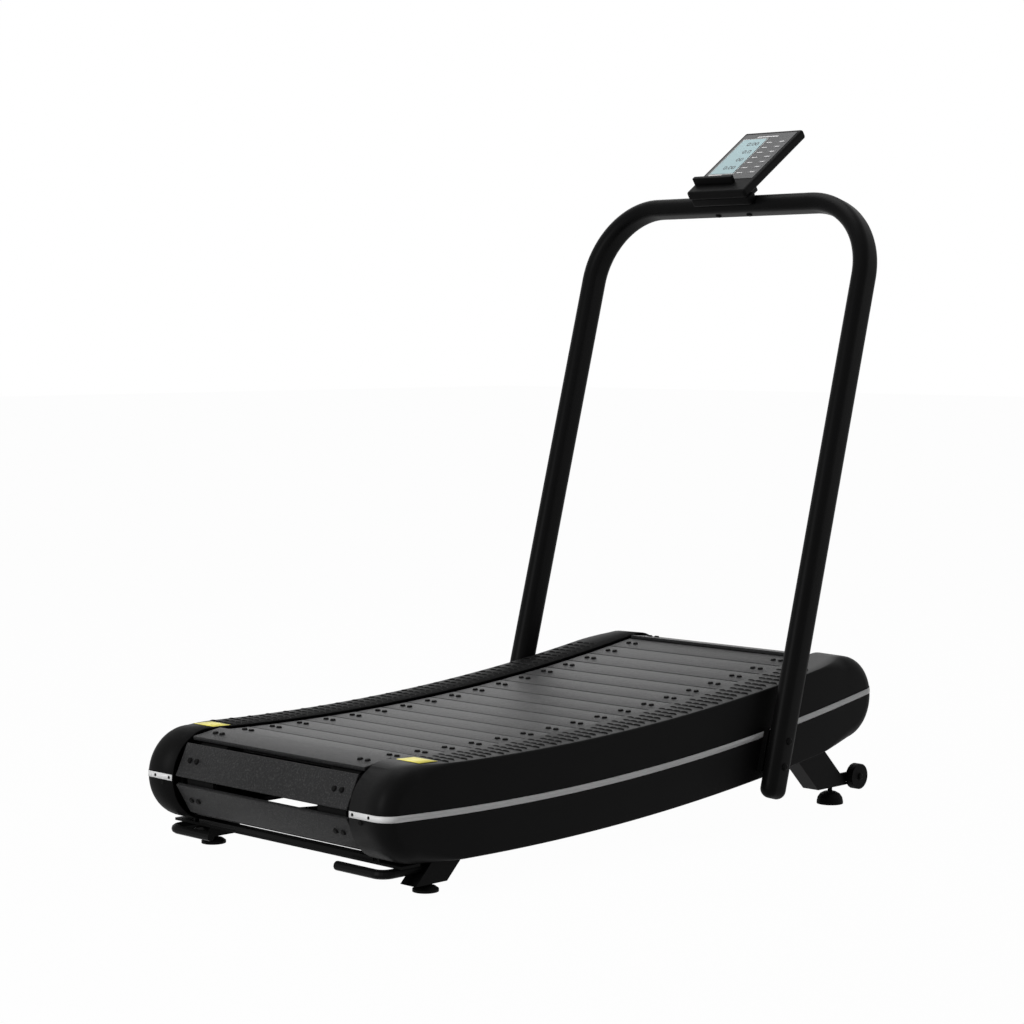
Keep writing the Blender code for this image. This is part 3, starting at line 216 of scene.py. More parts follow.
def rubber():
    return finish("worn_rubber", colours().rubber, 0.65, scale=350, bump=0.2, gloss=0.05)


def steel():
    return finish("brushed_steel", (0.5, 0.5, 0.51), 0.32, 1.0, 300, 0.12, 0.1, (1, 12, 12))


def bolt_finish():
    return finish("black_oxide", (0.005, 0.005, 0.005), 0.5, 0.0, 500, 0.1, gloss=0.03)


# ---- Shapes --------------------------------------------------------------------------------------
def mesh_object(name, shape, material, smooth=35):
    mesh = bpy.data.meshes.new(name)
    shape.to_mesh(mesh)
    shape.free()
    mesh.shade_smooth()
    mesh.set_sharp_from_angle(angle=math.radians(smooth))
    mesh.materials.append(material)
    made = bpy.data.objects.new(name, mesh)
    bpy.context.scene.collection.objects.link(made)
    return made


def add_box(shape, low, high, turn=None, rounding=0.0, segments=2):
    """A box, with rounded edges, as one more part of the bmesh."""
    low, high = Vector(low), Vector(high)
    verts = bmesh.ops.create_cube(shape, size=1)["verts"]
    bmesh.ops.scale(shape, vec=high - low, verts=verts)
    bmesh.ops.translate(shape, vec=(low + high) / 2, verts=verts)
    if rounding:
        edges = list({edge for vert in verts for edge in vert.link_edges})
        made = bmesh.ops.bevel(
            shape, geom=edges, offset=rounding, segments=segments, profile=0.5, affect="EDGES"
        )
        verts = list({v for face in made["faces"] for v in face.verts})
    if turn is not None:
        bmesh.ops.transform(shape, matrix=turn, verts=verts)


def loft(shape, rings):
    """Walls between matching rings of points, closed at both ends."""
    for one, two in zip(rings, rings[1:]):
        for i in range(len(one)):
            j = (i + 1) % len(one)
            shape.faces.new((one[i], one[j], two[j], two[i]))
    shape.faces.new(rings[0])
    shape.faces.new(rings[-1])
    bmesh.ops.recalc_face_normals(shape, faces=shape.faces)


def baked(holder):
    """The object with its modifiers turned into a plain mesh at the origin."""
    bpy.context.view_layer.update()
    graph = bpy.context.evaluated_depsgraph_get()
    mesh = bpy.data.meshes.new_from_object(holder.evaluated_get(graph))
    holder.modifiers.clear()
    holder.data = mesh
    return holder


def film(name, edges, material):
    """A thin film through pairs of points, which rides on the frame."""
    shape = bmesh.new()
    rows = [[shape.verts.new(point) for point in pair] for pair in edges]
    for one, two in zip(rows, rows[1:]):
        shape.faces.new((one[0], one[1], two[1], two[0]))
    bmesh.ops.recalc_face_normals(shape, faces=shape.faces)
    made = mesh_object(name, shape, material)
    wall = made.modifiers.new("film", "SOLIDIFY")
    wall.thickness = FILM
    wall.offset = 0
    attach(baked(made), "frame")


def arc_tree():
    """Nodes that repeat an object along an arc that runs in the YZ plane."""
    tree = bpy.data.node_groups.get("Repeat along arc")
    if tree:
        return tree
    tree = bpy.data.node_groups.new("Repeat along arc", "GeometryNodeTree")
    face = tree.interface
    face.new_socket("Geometry", in_out="OUTPUT", socket_type="NodeSocketGeometry")
    for label, kind in (
        ("Piece", "NodeSocketObject"),
        ("Count", "NodeSocketInt"),
        ("First angle", "NodeSocketFloat"),
        ("Angle step", "NodeSocketFloat"),
        ("Radius", "NodeSocketFloat"),
        ("Centre Y", "NodeSocketFloat"),
        ("Centre Z", "NodeSocketFloat"),
        ("Material", "NodeSocketMaterial"),
    ):
        face.new_socket(label, in_out="INPUT", socket_type=kind)
    new, link = tree.nodes.new, tree.links.new
    start, end = new("NodeGroupInput"), new("NodeGroupOutput")

    def sum_of(operation, *values):
        node = new("ShaderNodeMath")
        node.operation = operation
        for socket, value in zip(node.inputs, values):
            link(value, socket)
        return node.outputs[0]

    index = new("GeometryNodeInputIndex").outputs[0]
    angle = sum_of("MULTIPLY_ADD", index, start.outputs["Angle step"], start.outputs["First angle"])
    radius = start.outputs["Radius"]
    y = sum_of("MULTIPLY_ADD", radius, sum_of("SINE", angle), start.outputs["Centre Y"])
    z = sum_of("SUBTRACT", start.outputs["Centre Z"], sum_of("MULTIPLY", radius, sum_of("COSINE", angle)))
    place = new("ShaderNodeCombineXYZ")
    link(y, place.inputs["Y"])
    link(z, place.inputs["Z"])
    turn = new("ShaderNodeCombineXYZ")
    link(angle, turn.inputs["X"])
    points = new("GeometryNodePoints")
    link(start.outputs["Count"], points.inputs["Count"])
    link(place.outputs[0], points.inputs["Position"])
    info = new("GeometryNodeObjectInfo")
    info.inputs["As Instance"].default_value = True
    link(start.outputs["Piece"], info.inputs["Object"])
    repeat = new("GeometryNodeInstanceOnPoints")
    link(points.outputs[0], repeat.inputs["Points"])
    link(info.outputs["Geometry"], repeat.inputs["Instance"])
    link(turn.outputs[0], repeat.inputs["Rotation"])
    real = new("GeometryNodeRealizeInstances")
    link(repeat.outputs[0], real.inputs[0])
    coat = new("GeometryNodeSetMaterial")
    link(real.outputs[0], coat.inputs["Geometry"])
    link(start.outputs["Material"], coat.inputs["Material"])
    link(coat.outputs[0], end.inputs[0])
    return tree


def along_arc(name, piece, count, first, step, radius, centre, material, body):
    """Copies of the piece along an arc, as one mesh that rides on the body."""
    tree = arc_tree()
    holder = bpy.data.objects.new(name, bpy.data.meshes.new(name))
    bpy.context.scene.collection.objects.link(holder)
    nodes = holder.modifiers.new("repeat", "NODES")
    nodes.node_group = tree
    values = {
        "Piece": piece, "Count": count, "First angle": first, "Angle step": step, "Radius": radius,
        "Centre Y": centre[0], "Centre Z": centre[1], "Material": material,
    }
    for item in tree.interface.items_tree:
        if item.in_out == "INPUT":
            nodes[item.identifier] = values[item.name]
    made = baked(holder)
    made.data.shade_smooth()
    made.data.set_sharp_from_angle(angle=math.radians(35))
    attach(made, body)
    return made


def on_arc(radius, angle, centre=DECK_CENTRE):
    return centre[0] + radius * math.sin(angle), centre[1] - radius * math.cos(angle)


def arc_axes(angle):
    """Unit vectors along an arc and up from it."""
    return Vector((0, math.cos(angle), math.sin(angle))), Vector((0, -math.sin(angle), math.cos(angle)))


# ---- Belt ----------------------------------------------------------------------------------------
def belt_runs():
    """(body, node replaced, count, first angle, step, radius, centre) of each run of slats."""
    top_radius = sizes().deck_radius + SURFACE
    bottom_start = WRAP_TURN
    front_start = bottom_start + BOTTOM_RADIUS * BOTTOM_ANGLE / SLAT_PITCH
    top_start = front_start + WRAP_TURN
    places = [FIRST_SLAT + i for i in range(SLAT_COUNT)]
    rear = [p for p in places if p < bottom_start]
    bottom = [p for p in places if bottom_start <= p < front_start]
    front = [p for p in places if front_start <= p < top_start]
    upper = [p for p in places if p >= top_start]
    wrap_step, bottom_step = SLAT_PITCH / WRAP_RADIUS, SLAT_PITCH / BOTTOM_RADIUS
    top_step = SLAT_PITCH / top_radius
    front_angle = REAR_ANGLE + DECK_ANGLE
    bottom_angle = math.pi + REAR_ANGLE + DECK_ANGLE / 2 - BOTTOM_ANGLE / 2
    wrap_angle = math.pi + (DECK_ANGLE - BOTTOM_ANGLE) / 2 - front_angle
    return [
        (
            "rear_drive", "belt_rear_wrap", len(rear),
            REAR_ANGLE + rear[0] * wrap_step, wrap_step, -WRAP_RADIUS, REAR_AXLE,
        ),
        (
            "belt_bottom", "belt_bottom_run", len(bottom),
            bottom_angle + (bottom[0] - bottom_start) * bottom_step, bottom_step,
            -BOTTOM_RADIUS, BOTTOM_CENTRE,
        ),
        (
            "front_drive", "belt_front_wrap", len(front),
            -wrap_angle + (front[0] - front_start) * wrap_step, wrap_step, -WRAP_RADIUS, FRONT_AXLE,
        ),
        (
            "belt_top", "belt_top_run", len(upper),
            front_angle - (upper[0] - top_start) * top_step, -top_step, top_radius, DECK_CENTRE,
        ),
    ]


def slat_piece():
    s = sizes()
    shape = bmesh.new()
    half, reach = s.slat_width / 2, s.slat_length / 2
    add_box(shape, (-reach, -half, 0.0028), (reach, half, SURFACE), rounding=0.0016, segments=3)
    add_box(shape, (-0.14, -0.0025, -0.0155), (0.14, 0.0025, 0.003))
    return mesh_object("slat_pattern", shape, slat_finish())


def screw_piece():
    """The four sunk screws of one slat."""
    shape = bmesh.new()
    for sign in (-1, 1):
        for offset in (-0.0105, 0.0105):
            place = Matrix.Translation((sign * 0.2145 + offset, 0, SURFACE + 0.0016))
            bmesh.ops.create_cone(
                shape, cap_ends=True, segments=16, radius1=0.0064, radius2=0.0046, depth=0.0036, matrix=place
            )
    return mesh_object("screw_pattern", shape, bolt_finish())


class TREADMILL_OT_belt(bpy.types.Operator):
    """Make the belt's slats, their screws and the drive belts"""

    bl_idname = "treadmill.belt"
    bl_label = "Make belt"

    def execute(self, context):
        slat, screws = slat_piece(), screw_piece()
        for body, node, count, first, step, radius, centre in belt_runs():
            path = (count, first, step, radius, centre)
            slats = along_arc(f"{node}_slats", slat, *path, slat_finish(), body)
            along_arc(f"{node}_screws", screws, *path, bolt_finish(), body)
            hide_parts(node)
            drive_belts(node, body, *path)
        for pattern in (slat, screws):
            bpy.data.objects.remove(pattern, do_unlink=True)
        return {"FINISHED"}


def drive_belts(node, body, count, first, step, radius, centre):
    """The two drive belts under one run of slats."""
    shape = bmesh.new()
    steps, past_slat = 40, 0.30
    inner, outer, over, under = 0.155, 0.235, 0.0022, -0.0025
    start, end = first - step * past_slat, first + step * (count - 1 + past_slat)
    for sign in (-1, 1):
        rings = []
        for i in range(steps + 1):
            angle = start + (end - start) * i / steps
            rings.append([
                shape.verts.new((sign * x, *on_arc(radius - rise, angle, centre)))
                for x, rise in ((inner, over), (outer, over), (outer, under), (inner, under))
            ])
        loft(shape, rings)
    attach(mesh_object(f"{node}_drive_belts", shape, rubber()), body)


# ---- Covers --------------------------------------------------------------------------------------
def cover_arc():
    """(radius, rear angle, front angle) of the line midway up a cover."""
    s = sizes()
    radius = s.deck_radius - COVER_RISE + s.cover_half
    return radius, REAR_ANGLE, REAR_ANGLE + DECK_ANGLE + COVER_NOSE / radius


def cover_path(steps, turns):
    """(point, outward direction, share of the end rounding, open below) round a cover's outline."""
    radius, rear, front = cover_arc()
    length = (front - rear) * radius
    found = []

    def run(begin, finish_angle, way, power, below):
        for i in range(steps):
            share = i / steps
            angle = begin + (finish_angle - begin) * share
            near = min(share, 1 - share) * length
            rounding = max(0, 1 - near / COVER_RAMP) ** power
            centre, out = Vector((0, *on_arc(radius, angle))), arc_axes(angle)[1] * way
            found.append((centre, out, rounding, below and near > 0.01))

    def end(angle, first):
        for i in range(turns):
            turn = first + math.pi * i / turns - angle
            centre, out = Vector((0, *on_arc(radius, angle))), Vector((0, math.sin(turn), math.cos(turn)))
            found.append((centre, out, 1, False))

    run(rear, front, 1, 2, False)
    end(front, 0)
    run(front, rear, -1, 1, True)
    end(rear, math.pi)
    return found


def cover(side):
    """One side shell: layers of its outline from the inner edge to the flat outer face, open below."""
    s, sign = sizes(), SIDES[side]
    steps, turns = 72, 9
    path = cover_path(steps, 36)
    shape = bmesh.new()
    layers = []
    for k in range(turns + 2):
        layer = []
        for centre, out, share, _ in path:
            rounding = COVER_EDGE + (s.cover_corner - COVER_EDGE) * share
            turn = math.radians(90) * max(0, k - 1) / turns
            x = s.rail_inside if k == 0 else s.rail_outside - rounding * (1 - math.sin(turn))
            rise = 0.0015 if k == 0 and out.z > 0.9 else 0
            point = centre + out * (s.cover_half + rise - rounding * (1 - math.cos(turn)))
            layer.append(shape.verts.new((sign * x, point.y, point.z)))
        layers.append(layer)
    for k, (one, two) in enumerate(zip(layers, layers[1:])):
        for i in range(len(path)):
            j = (i + 1) % len(path)
            if k == 0 and path[i][3] and path[j][3]:
                continue
            shape.faces.new((one[i], one[j], two[j], two[i]))
    half, last = len(path) // 2, layers[-1]
    for i in range(steps):
        c, d = last[half + steps - i - 1], last[(half + steps - i) % len(path)]
        shape.faces.new((last[i], last[i + 1], c, d))
    shape.faces.new(last[steps:half + 1])
    shape.faces.new(last[half + steps:] + last[:1])
    bmesh.ops.recalc_face_normals(shape, faces=shape.faces)
    made = mesh_object(f"cover_shell_{side}", shape, cover_finish(), 40)
    wall = made.modifiers.new("wall", "SOLIDIFY")
    wall.thickness = COVER_WALL
    wall.offset = -1
    baked(made)
    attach(made, "frame")
    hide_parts(f"cover_{side}")


def stripe(side):
    """The pale stripe: along the outer face, round both upright corners, over both ends."""
    s, sign = sizes(), SIDES[side]
    radius, rear, front = cover_arc()
    lift, corner, out = 0.0004, s.cover_corner, s.cover_half
    steps, corner_steps = 60, 12

    def end(angle, way):
        along = arc_axes(angle)[0] * way
        centre = Vector((0, *on_arc(radius, angle)))
        points = []
        for i in range(corner_steps + 1):
            turn = math.radians(90) * i / corner_steps
            x = s.rail_outside - corner + (corner + lift) * math.cos(turn)
            points.append((x, centre + along * (out - corner + (corner + lift) * math.sin(turn)), angle))
        points.append((s.rail_inside + 0.001, centre + along * (out + lift), angle))
        return points

    path = end(rear, -1)[::-1]
    for i in range(1, steps):
        angle = rear + (front - rear) * i / steps
        path.append((s.rail_outside + lift, Vector((0, *on_arc(radius, angle))), angle))
    path += end(front, 1)
    edges = []
    for x, point, angle in path:
        up = arc_axes(angle)[1] * s.stripe_width / 2
        edges.append([(sign * x, *(point + up * way).yz) for way in (-1, 1)])
    material = finish("stripe_film", colours().stripe, 0.4, scale=300, bump=0.04, vary=0.05)
    film(f"stripe_{side}", edges, material)


def add_lip(shape, x, length):
    """One raised, curved tread lip: its ends lie further back than its middle."""
    rings, steps, bow, thickness, height = [], 6, 0.0045, 0.0046, 0.0028
    for i in range(steps + 1):
        share = 2 * i / steps - 1
        taper = math.sqrt(max(0.04, 1 - share**4))
        thick, tall = thickness * taper, height * taper
        corners = (
            (-thick / 2, -0.0006), (-thick / 2, tall * 0.6), (0, tall),
            (thick / 2, tall * 0.4), (thick / 2, -0.0006),
        )
        across, back = x + share * length / 2, -bow * share * share
        rings.append([shape.verts.new((across, back + y, z)) for y, z in corners])
    loft(shape, rings)


def end_screws(side):
    """Two small screws on the stripe and a larger one below it, on each end of a cover."""
    s, sign = sizes(), SIDES[side]
    radius, rear, front = cover_arc()
    shape = bmesh.new()
    for angle, way in ((rear, -1), (front, 1)):
        along, up = arc_axes(angle)
        along = along * way
        centre = Vector((0, *on_arc(radius, angle))) + along * s.cover_half
        for x, drop, width in END_SCREWS:
            place = centre - up * drop + Vector((sign * x, 0, 0)) - along * 0.0004
            turn = along.to_track_quat("Z", "X").to_matrix().to_4x4()
            bmesh.ops.create_cone(
                shape, cap_ends=True, segments=20, radius1=width, radius2=width * 0.75, depth=0.003,
                matrix=Matrix.Translation(place) @ turn,
            )
    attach(mesh_object(f"cover_screws_{side}", shape, bolt_finish()), "frame")


def patch(side):
    """A plain yellow patch near the rear of a foot rail."""
    s, sign = sizes(), SIDES[side]
    start, length, steps = 0.014, 0.046, 6
    edges = []
    for i in range(steps + 1):
        angle = REAR_ANGLE + (start + length * i / steps) / s.deck_radius
        y, z = on_arc(s.deck_radius - 0.0042, angle)
        edges.append([(sign * x, y, z) for x in (0.270, 0.334)])
    material = finish("yellow_film", (0.95, 0.84, 0.12), 0.45, scale=200, bump=0.03, vary=0.06)
    film(f"patch_{side}", edges, material)


def dashes(side):
    """Rows of raised lips on a foot rail, four and three in turn, each row half a step from the next."""
    s, sign = sizes(), SIDES[side]
    margin, bare_end = 0.009, 0.075
    pitch = (s.rail_outside - s.rail_inside - 2 * margin) / 4
    rows = s.dash_rows // 2
    step = (DECK_ANGLE - 2 * bare_end / s.deck_radius) / rows
    for turn, (count, offset) in enumerate(((4, 0.5), (3, 1.0))):
        shape = bmesh.new()
        for i in range(count):
            add_lip(shape, sign * (s.rail_inside + margin + pitch * (i + offset)), s.dash_length)
        pattern = mesh_object(f"dash_pattern_{side}_{turn}", shape, cover_finish())
        first = REAR_ANGLE + bare_end / s.deck_radius + step * turn / 2
        along_arc(
            f"rail_dashes_{side}_{turn}", pattern, rows, first, step,
            s.deck_radius - COVER_RISE, DECK_CENTRE, cover_finish(), "frame",
        )
        bpy.data.objects.remove(pattern, do_unlink=True)


class TREADMILL_OT_covers(bpy.types.Operator):
    """Make both side covers with their stripes and foot-rail dashes"""

    bl_idname = "treadmill.covers"
    bl_label = "Make covers"

    def execute(self, context):
        for side in SIDES:
            cover(side)
            stripe(side)
            dashes(side)
            end_screws(side)
            patch(side)
        return {"FINISHED"}


# ---- Handle --------------------------------------------------------------------------------------
def tube_outline():
    """The flat-oval outline of the handle's tube, as (across, along) pairs."""
    s = sizes()
    radius, flat = s.tube_width / 2, (s.tube_depth - s.tube_width) / 2
    found = []
    for sign, first in ((1, 0), (-1, math.pi)):
        for i in range(17):
            turn = first + math.pi * i / 16
            found.append((radius * math.cos(turn), sign * flat + radius * math.sin(turn)))
    return found


def handle_axes():
    """(foot on the floor, up along the leaning plane, forward out of it)."""
    return (
        Vector((0, HAND_BAR.y - HAND_BAR.z * math.tan(HANDLE_LEAN), 0)),
        Vector((0, math.sin(HANDLE_LEAN), math.cos(HANDLE_LEAN))),
        Vector((0, math.cos(HANDLE_LEAN), -math.sin(HANDLE_LEAN))),
    )


def handle_tube(low):
    s = sizes()
    foot, up, out = handle_axes()
    top, bend, steps = HAND_BAR.z / math.cos(HANDLE_LEAN), s.handle_bend, 32
    half = [(s.handle_half, low)]
    for i in range(steps + 1):
        turn = math.radians(90) * i / steps
        half.append((s.handle_half - bend * (1 - math.cos(turn)), top - bend * (1 - math.sin(turn))))
    path = half + [(-x, y) for x, y in reversed(half)]
    shape = bmesh.new()
    rings = []
    for i, (x, y) in enumerate(path):
        before, after = path[max(0, i - 1)], path[min(len(path) - 1, i + 1)]
        away = Vector((after[1] - before[1], before[0] - after[0])).normalized()
        rings.append([
            shape.verts.new(foot + Vector((x + away.x * u, 0, 0)) + up * (y + away.y * u) + out * v)
            for u, v in tube_outline()
        ])
    loft(shape, rings)
    made = mesh_object("handle_tube", shape, paint(), 50)
    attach(made, "frame")
    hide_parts("handlebar")


def handle_cap(side, low):
    """A rounded plug in the tube's lower end."""
    s, sign = sizes(), SIDES[side]
    foot, up, out = handle_axes()
    steps, half_depth = 10, s.tube_depth / 2
    levels = [(-0.0002, 0)]
    for k in range(steps + 1):
        turn = math.radians(90) * k / steps
        levels.append((CAP_DROP - CAP_ROUNDING * (1 - math.sin(turn)), CAP_ROUNDING * (1 - math.cos(turn))))
    shape = bmesh.new()
    rings = []
    for depth, inset in levels:
        rings.append([
            shape.verts.new(
                foot
                + Vector((sign * s.handle_half + u * (1 - inset / (s.tube_width / 2)), 0, 0))
                + up * (low - depth)
                + out * (v - math.copysign(inset, v) * abs(v) / half_depth)
            )
            for u, v in tube_outline()
        ])
    loft(shape, rings)
    made = mesh_object(f"end_cap_{side}", shape, cover_finish(), 50)
    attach(made, "frame")
    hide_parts(f"handle_cap_{side}")


class TREADMILL_OT_handle(bpy.types.Operator):
    """Make the U-shaped handle from its flat-oval tube, and its end caps"""

    bl_idname = "treadmill.handle"
    bl_label = "Make handle"

    def execute(self, context):
        low = HANDLE_LOW / math.cos(HANDLE_LEAN)
        handle_tube(low)
        for side in SIDES:
            handle_cap(side, low)
        return {"FINISHED"}


# ---- Console -------------------------------------------------------------------------------------
def console_plane():
    along, out = CONSOLE_CORNER
    face = Vector((0, math.cos(CONSOLE_TILT), math.sin(CONSOLE_TILT)))
    normal = Vector((0, -math.sin(CONSOLE_TILT), math.cos(CONSOLE_TILT)))
    return Matrix.Translation(HAND_BAR + face * along + normal * out) @ Matrix.Rotation(CONSOLE_TILT, 4, "X")


def console_mount():
    shape = bmesh.new()
    plane = console_plane()
    add_box(shape, (-0.083, 0.0045, -0.042), (0.083, 0.030, -0.0223), plane, 0.004, 3)
    add_box(shape, (-0.060, 0.010, -0.044), (0.060, 0.070, -0.0223), plane, 0.002, 2)
    mount = mesh_object("console_mount_body", shape, cover_finish())
    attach(mount, "frame")
    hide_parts("console_mount")


def screen():
    """The film over the console's face, and the screen set in it."""
    plane = console_plane()
    shape = bmesh.new()
    add_box(shape, (-0.074, 0.050, 0.0001), (0.076, 0.246, INK_LEVEL), plane, 0.0004, 1)
    film_finish = finish("overlay_film", (0.02, 0.021, 0.023), 0.22, scale=200, bump=0.03)
    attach(mesh_object("console_overlay", shape, film_finish), "frame")
    shape = bmesh.new()
    add_box(shape, (-0.064, 0.074, INK_LEVEL), (0.004, 0.222, 0.0016), plane)
    glass = finish("screen_glass", colours().screen, 0.12, scale=60, bump=0.01, vary=0.05)
    made = mesh_object("screen_face", shape, glass)
    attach(made, "frame")
    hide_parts("display")


def readings():
    """Plain numbers on the screen."""
    ink = finish("screen_ink", (0.03, 0.035, 0.04), 0.5)
    for row, text in enumerate(("0:00", "0.0", "00", "0.00")):
        data = bpy.data.curves.new(f"reading_{row}", "FONT")
        data.body = text
        data.size = 0.020
        data.align_x = "RIGHT"
        data.extrude = 0.0001
        data.materials.append(ink)
        reading = bpy.data.objects.new(f"reading_{row}", data)
        bpy.context.scene.collection.objects.link(reading)
        reading.matrix_world = console_plane() @ Matrix.Translation((-0.006, 0.194 - row * 0.034, 0.0018))
        baked_text(reading)


def legends():
    """White bars beside and on the keys, above and below the screen, and its thin border."""
    plane = console_plane()
    shape = bmesh.new()
    for i in range(KEY_COUNT):
        y = KEY_FIRST + i * KEY_PITCH
        add_box(shape, (0.014, y - 0.0016, INK_LEVEL), (0.030, y + 0.0008, 0.0011), plane)
        add_box(shape, (0.052, y - 0.0012, 0.0013), (0.064, y + 0.0012, 0.0015), plane)
    left, right, low, high, line, top = -0.0668, 0.0058, 0.0720, 0.2240, 0.0010, 0.0012
    add_box(shape, (-0.064, 0.0640, INK_LEVEL), (-0.026, 0.0710, top), plane)
    add_box(shape, (-0.030, 0.2300, INK_LEVEL), (0.030, 0.2335, top), plane)
    for x in (left, right):
        add_box(shape, (x, low, INK_LEVEL), (x + line, high + line, top), plane)
    for y in (low, high):
        add_box(shape, (left, y, INK_LEVEL), (right + line, y + line, top), plane)
    white = finish("legend_ink", (0.75, 0.75, 0.75), 0.5, vary=0.05)
    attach(mesh_object("console_legends", shape, white), "frame")


class TREADMILL_OT_console(bpy.types.Operator):
    """Make the console's mount, screen, readings and key legends"""

    bl_idname = "treadmill.console"
    bl_label = "Make console"

    def execute(self, context):
        console_mount()
        screen()
        readings()
        legends()
        return {"FINISHED"}


def baked_text(text):
    """The text as a plain mesh at the origin that rides on the frame."""
    bpy.context.view_layer.update()
    graph = bpy.context.evaluated_depsgraph_get()
    mesh = bpy.data.meshes.new_from_object(text.evaluated_get(graph))
    mesh.transform(text.matrix_world)
    name = f"{text.name}_ink"
    bpy.data.objects.remove(text, do_unlink=True)
    made = bpy.data.objects.new(name, mesh)
    bpy.context.scene.collection.objects.link(made)
    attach(made, "frame")


# ---- Plain pieces --------------------------------------------------------------------------------
def cross_bar_lip():
    """The upturned rear edge of the rear cross bar, just under the turning slats."""
    half, height, thickness = 0.258, 0.0085, 0.003
    rear = REAR_AXLE[0] - CROSS_BAR_BEHIND
    low, high = (-half, rear, CROSS_BAR_TOP), (half, rear + thickness, CROSS_BAR_TOP + height)
    shape = bmesh.new()
    add_box(shape, low, high, None, 0.0008)
    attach(mesh_object("cross_bar_lip", shape, paint()), "frame")


class TREADMILL_OT_hardware(bpy.types.Operator):
    """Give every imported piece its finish, and add the cross bar's lip"""

    bl_idname = "treadmill.hardware"
    bl_label = "Finish hardware"

    def execute(self, context):
        for name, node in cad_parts.items():
            if "bolt" in name:
                material = bolt_finish()
            elif "foot" in name or "wheel" in name:
                material = rubber()
            elif "shaft" in name or "bearing" in name:
                material = steel()
            elif name.startswith("key_"):
                material = finish("key_rubber", (0.06, 0.06, 0.065), 0.5, scale=300, bump=0.1)
            elif "leg" in name or "frame" in name or "cross" in name or "rod" in name:
                material = paint()
            else:
                material = cover_finish()
            node.data.materials.clear()
            node.data.materials.append(material)
        cross_bar_lip()
        return {"FINISHED"}


# ---- Studio --------------------------------------------------------------------------------------
def seen_rays(tree, share):
    """A factor: the share for camera, glossy and transmission rays, and 0 for other light."""
    rays = tree.nodes.new("ShaderNodeLightPath")
    found = rays.outputs["Is Camera Ray"]
    for label in ("Is Glossy Ray", "Is Transmission Ray"):
        most = tree.nodes.new("ShaderNodeMath")
        most.operation = "MAXIMUM"
        tree.links.new(found, most.inputs[0])
        tree.links.new(rays.outputs[label], most.inputs[1])
        found = most.outputs[0]
    scaled = tree.nodes.new("ShaderNodeMath")
    scaled.operation = "MULTIPLY"
    scaled.inputs[1].default_value = share
    tree.links.new(found, scaled.inputs[0])
    return scaled.outputs[0]


def white_floor():
    """A pale floor that is almost white where it is seen, so that only the object's shadow shows on it."""
    made = finish("studio_floor", colours().floor, 0.9, scale=30, bump=0.0, vary=0.01)
    tree = made.node_tree
    white, mix = tree.nodes.new("ShaderNodeEmission"), tree.nodes.new("ShaderNodeMixShader")
    tree.links.new(seen_rays(tree, FLOOR_WHITE), mix.inputs["Fac"])
    tree.links.new(tree.nodes["Principled BSDF"].outputs[0], mix.inputs[1])
    tree.links.new(white.outputs[0], mix.inputs[2])
    tree.links.new(mix.outputs[0], tree.nodes["Material Output"].inputs["Surface"])
    return made


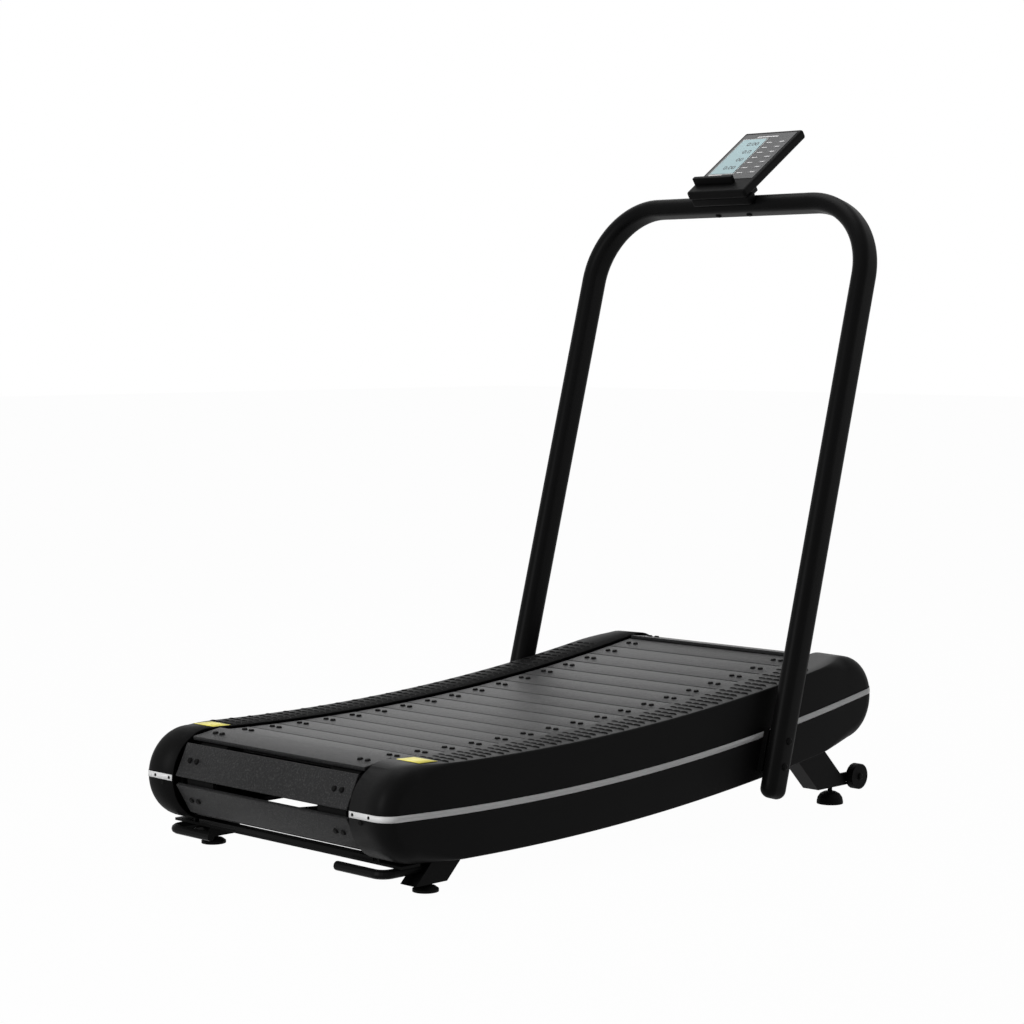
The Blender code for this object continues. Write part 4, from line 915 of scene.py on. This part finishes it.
class TREADMILL_OT_stage(bpy.types.Operator):
    """Make the floor, the lights, the white surroundings and the camera"""

    bl_idname = "treadmill.stage"
    bl_label = "Make stage"

    def execute(self, context):
        scene = context.scene
        shape = bmesh.new()
        bmesh.ops.create_grid(shape, x_segments=1, y_segments=1, size=30)
        floor = mesh_object("floor", shape, white_floor())
        floor.location.z = -0.0005
        world = bpy.data.worlds.new("studio")
        scene.world = world
        world.use_nodes = True
        tree = world.node_tree
        tree.nodes.clear()
        new, link = tree.nodes.new, tree.links.new
        dim, bright = new("ShaderNodeBackground"), new("ShaderNodeBackground")
        dim.inputs["Color"].default_value = (0.85, 0.87, 0.9, 1)
        dim.inputs["Strength"].default_value = 0.045
        bright.inputs["Color"].default_value = (1, 1, 1, 1)
        mix, out = new("ShaderNodeMixShader"), new("ShaderNodeOutputWorld")
        link(seen_rays(tree, 1.0), mix.inputs["Fac"])
        link(dim.outputs[0], mix.inputs[1])
        link(bright.outputs[0], mix.inputs[2])
        link(mix.outputs[0], out.inputs["Surface"])
        for name, place, aim, power, width in (
            ("key", (0.2, -3.4, 1.5), (0, -0.5, 0.2), 62, 1.3),
            ("back_top", (-2.4, 2.4, 1.9), (0, 0, 0.3), 18, 2.4),
            ("top", (-0.4, 0.4, 3.4), (0, 0, 0.3), 46, 2.0),
            ("front", (2.4, 2.2, 1.6), (0, 0.3, 0.6), 6, 1.2),
        ):
            data = bpy.data.lights.new(name, "AREA")
            data.energy = power
            data.size = width
            lamp = bpy.data.objects.new(name, data)
            scene.collection.objects.link(lamp)
            lamp.location = place
            lamp.rotation_euler = (Vector(aim) - Vector(place)).to_track_quat("-Z", "Y").to_euler()
        data = bpy.data.cameras.new("camera")
        data.lens = 88.01
        data.sensor_width = 36
        camera = bpy.data.objects.new("camera", data)
        scene.collection.objects.link(camera)
        camera.location = (3.65399, -3.77474, 1.03652)
        yaw, pitch = math.radians(134.754 - 90), math.radians(90 - 4.139)
        camera.rotation_euler = Euler((pitch, 0, yaw))
        scene.camera = camera
        scene.view_settings.view_transform = "Standard"
        return {"FINISHED"}


class TREADMILL_PT_panel(bpy.types.Panel):
    """Sizes, colours and buttons for the treadmill"""

    bl_idname = "TREADMILL_PT_panel"
    bl_label = "Curved treadmill"
    bl_space_type = "VIEW_3D"
    bl_region_type = "UI"
    bl_category = "Treadmill"

    def draw(self, context):
        for group in (context.scene.treadmill_sizes, context.scene.treadmill_colours):
            for name in group.__annotations__:
                self.layout.prop(group, name)
        for operator in OPERATORS:
            self.layout.operator(operator.bl_idname)


GROUPS = (TreadmillSizes, TreadmillColours)
OPERATORS = (
    TREADMILL_OT_hardware,
    TREADMILL_OT_belt,
    TREADMILL_OT_covers,
    TREADMILL_OT_handle,
    TREADMILL_OT_console,
    TREADMILL_OT_stage,
)


def register():
    for made in (*GROUPS, *OPERATORS, TREADMILL_PT_panel):
        bpy.utils.register_class(made)
    bpy.types.Scene.treadmill_sizes = PointerProperty(type=TreadmillSizes)
    bpy.types.Scene.treadmill_colours = PointerProperty(type=TreadmillColours)


def unregister():
    del bpy.types.Scene.treadmill_colours
    del bpy.types.Scene.treadmill_sizes
    for made in reversed((*GROUPS, *OPERATORS, TREADMILL_PT_panel)):
        bpy.utils.unregister_class(made)


def main():
    register()
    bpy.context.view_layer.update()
    for operator in OPERATORS:
        group, name = operator.bl_idname.split(".")
        getattr(getattr(bpy.ops, group), name)()


if __name__ == "__main__":
    main()
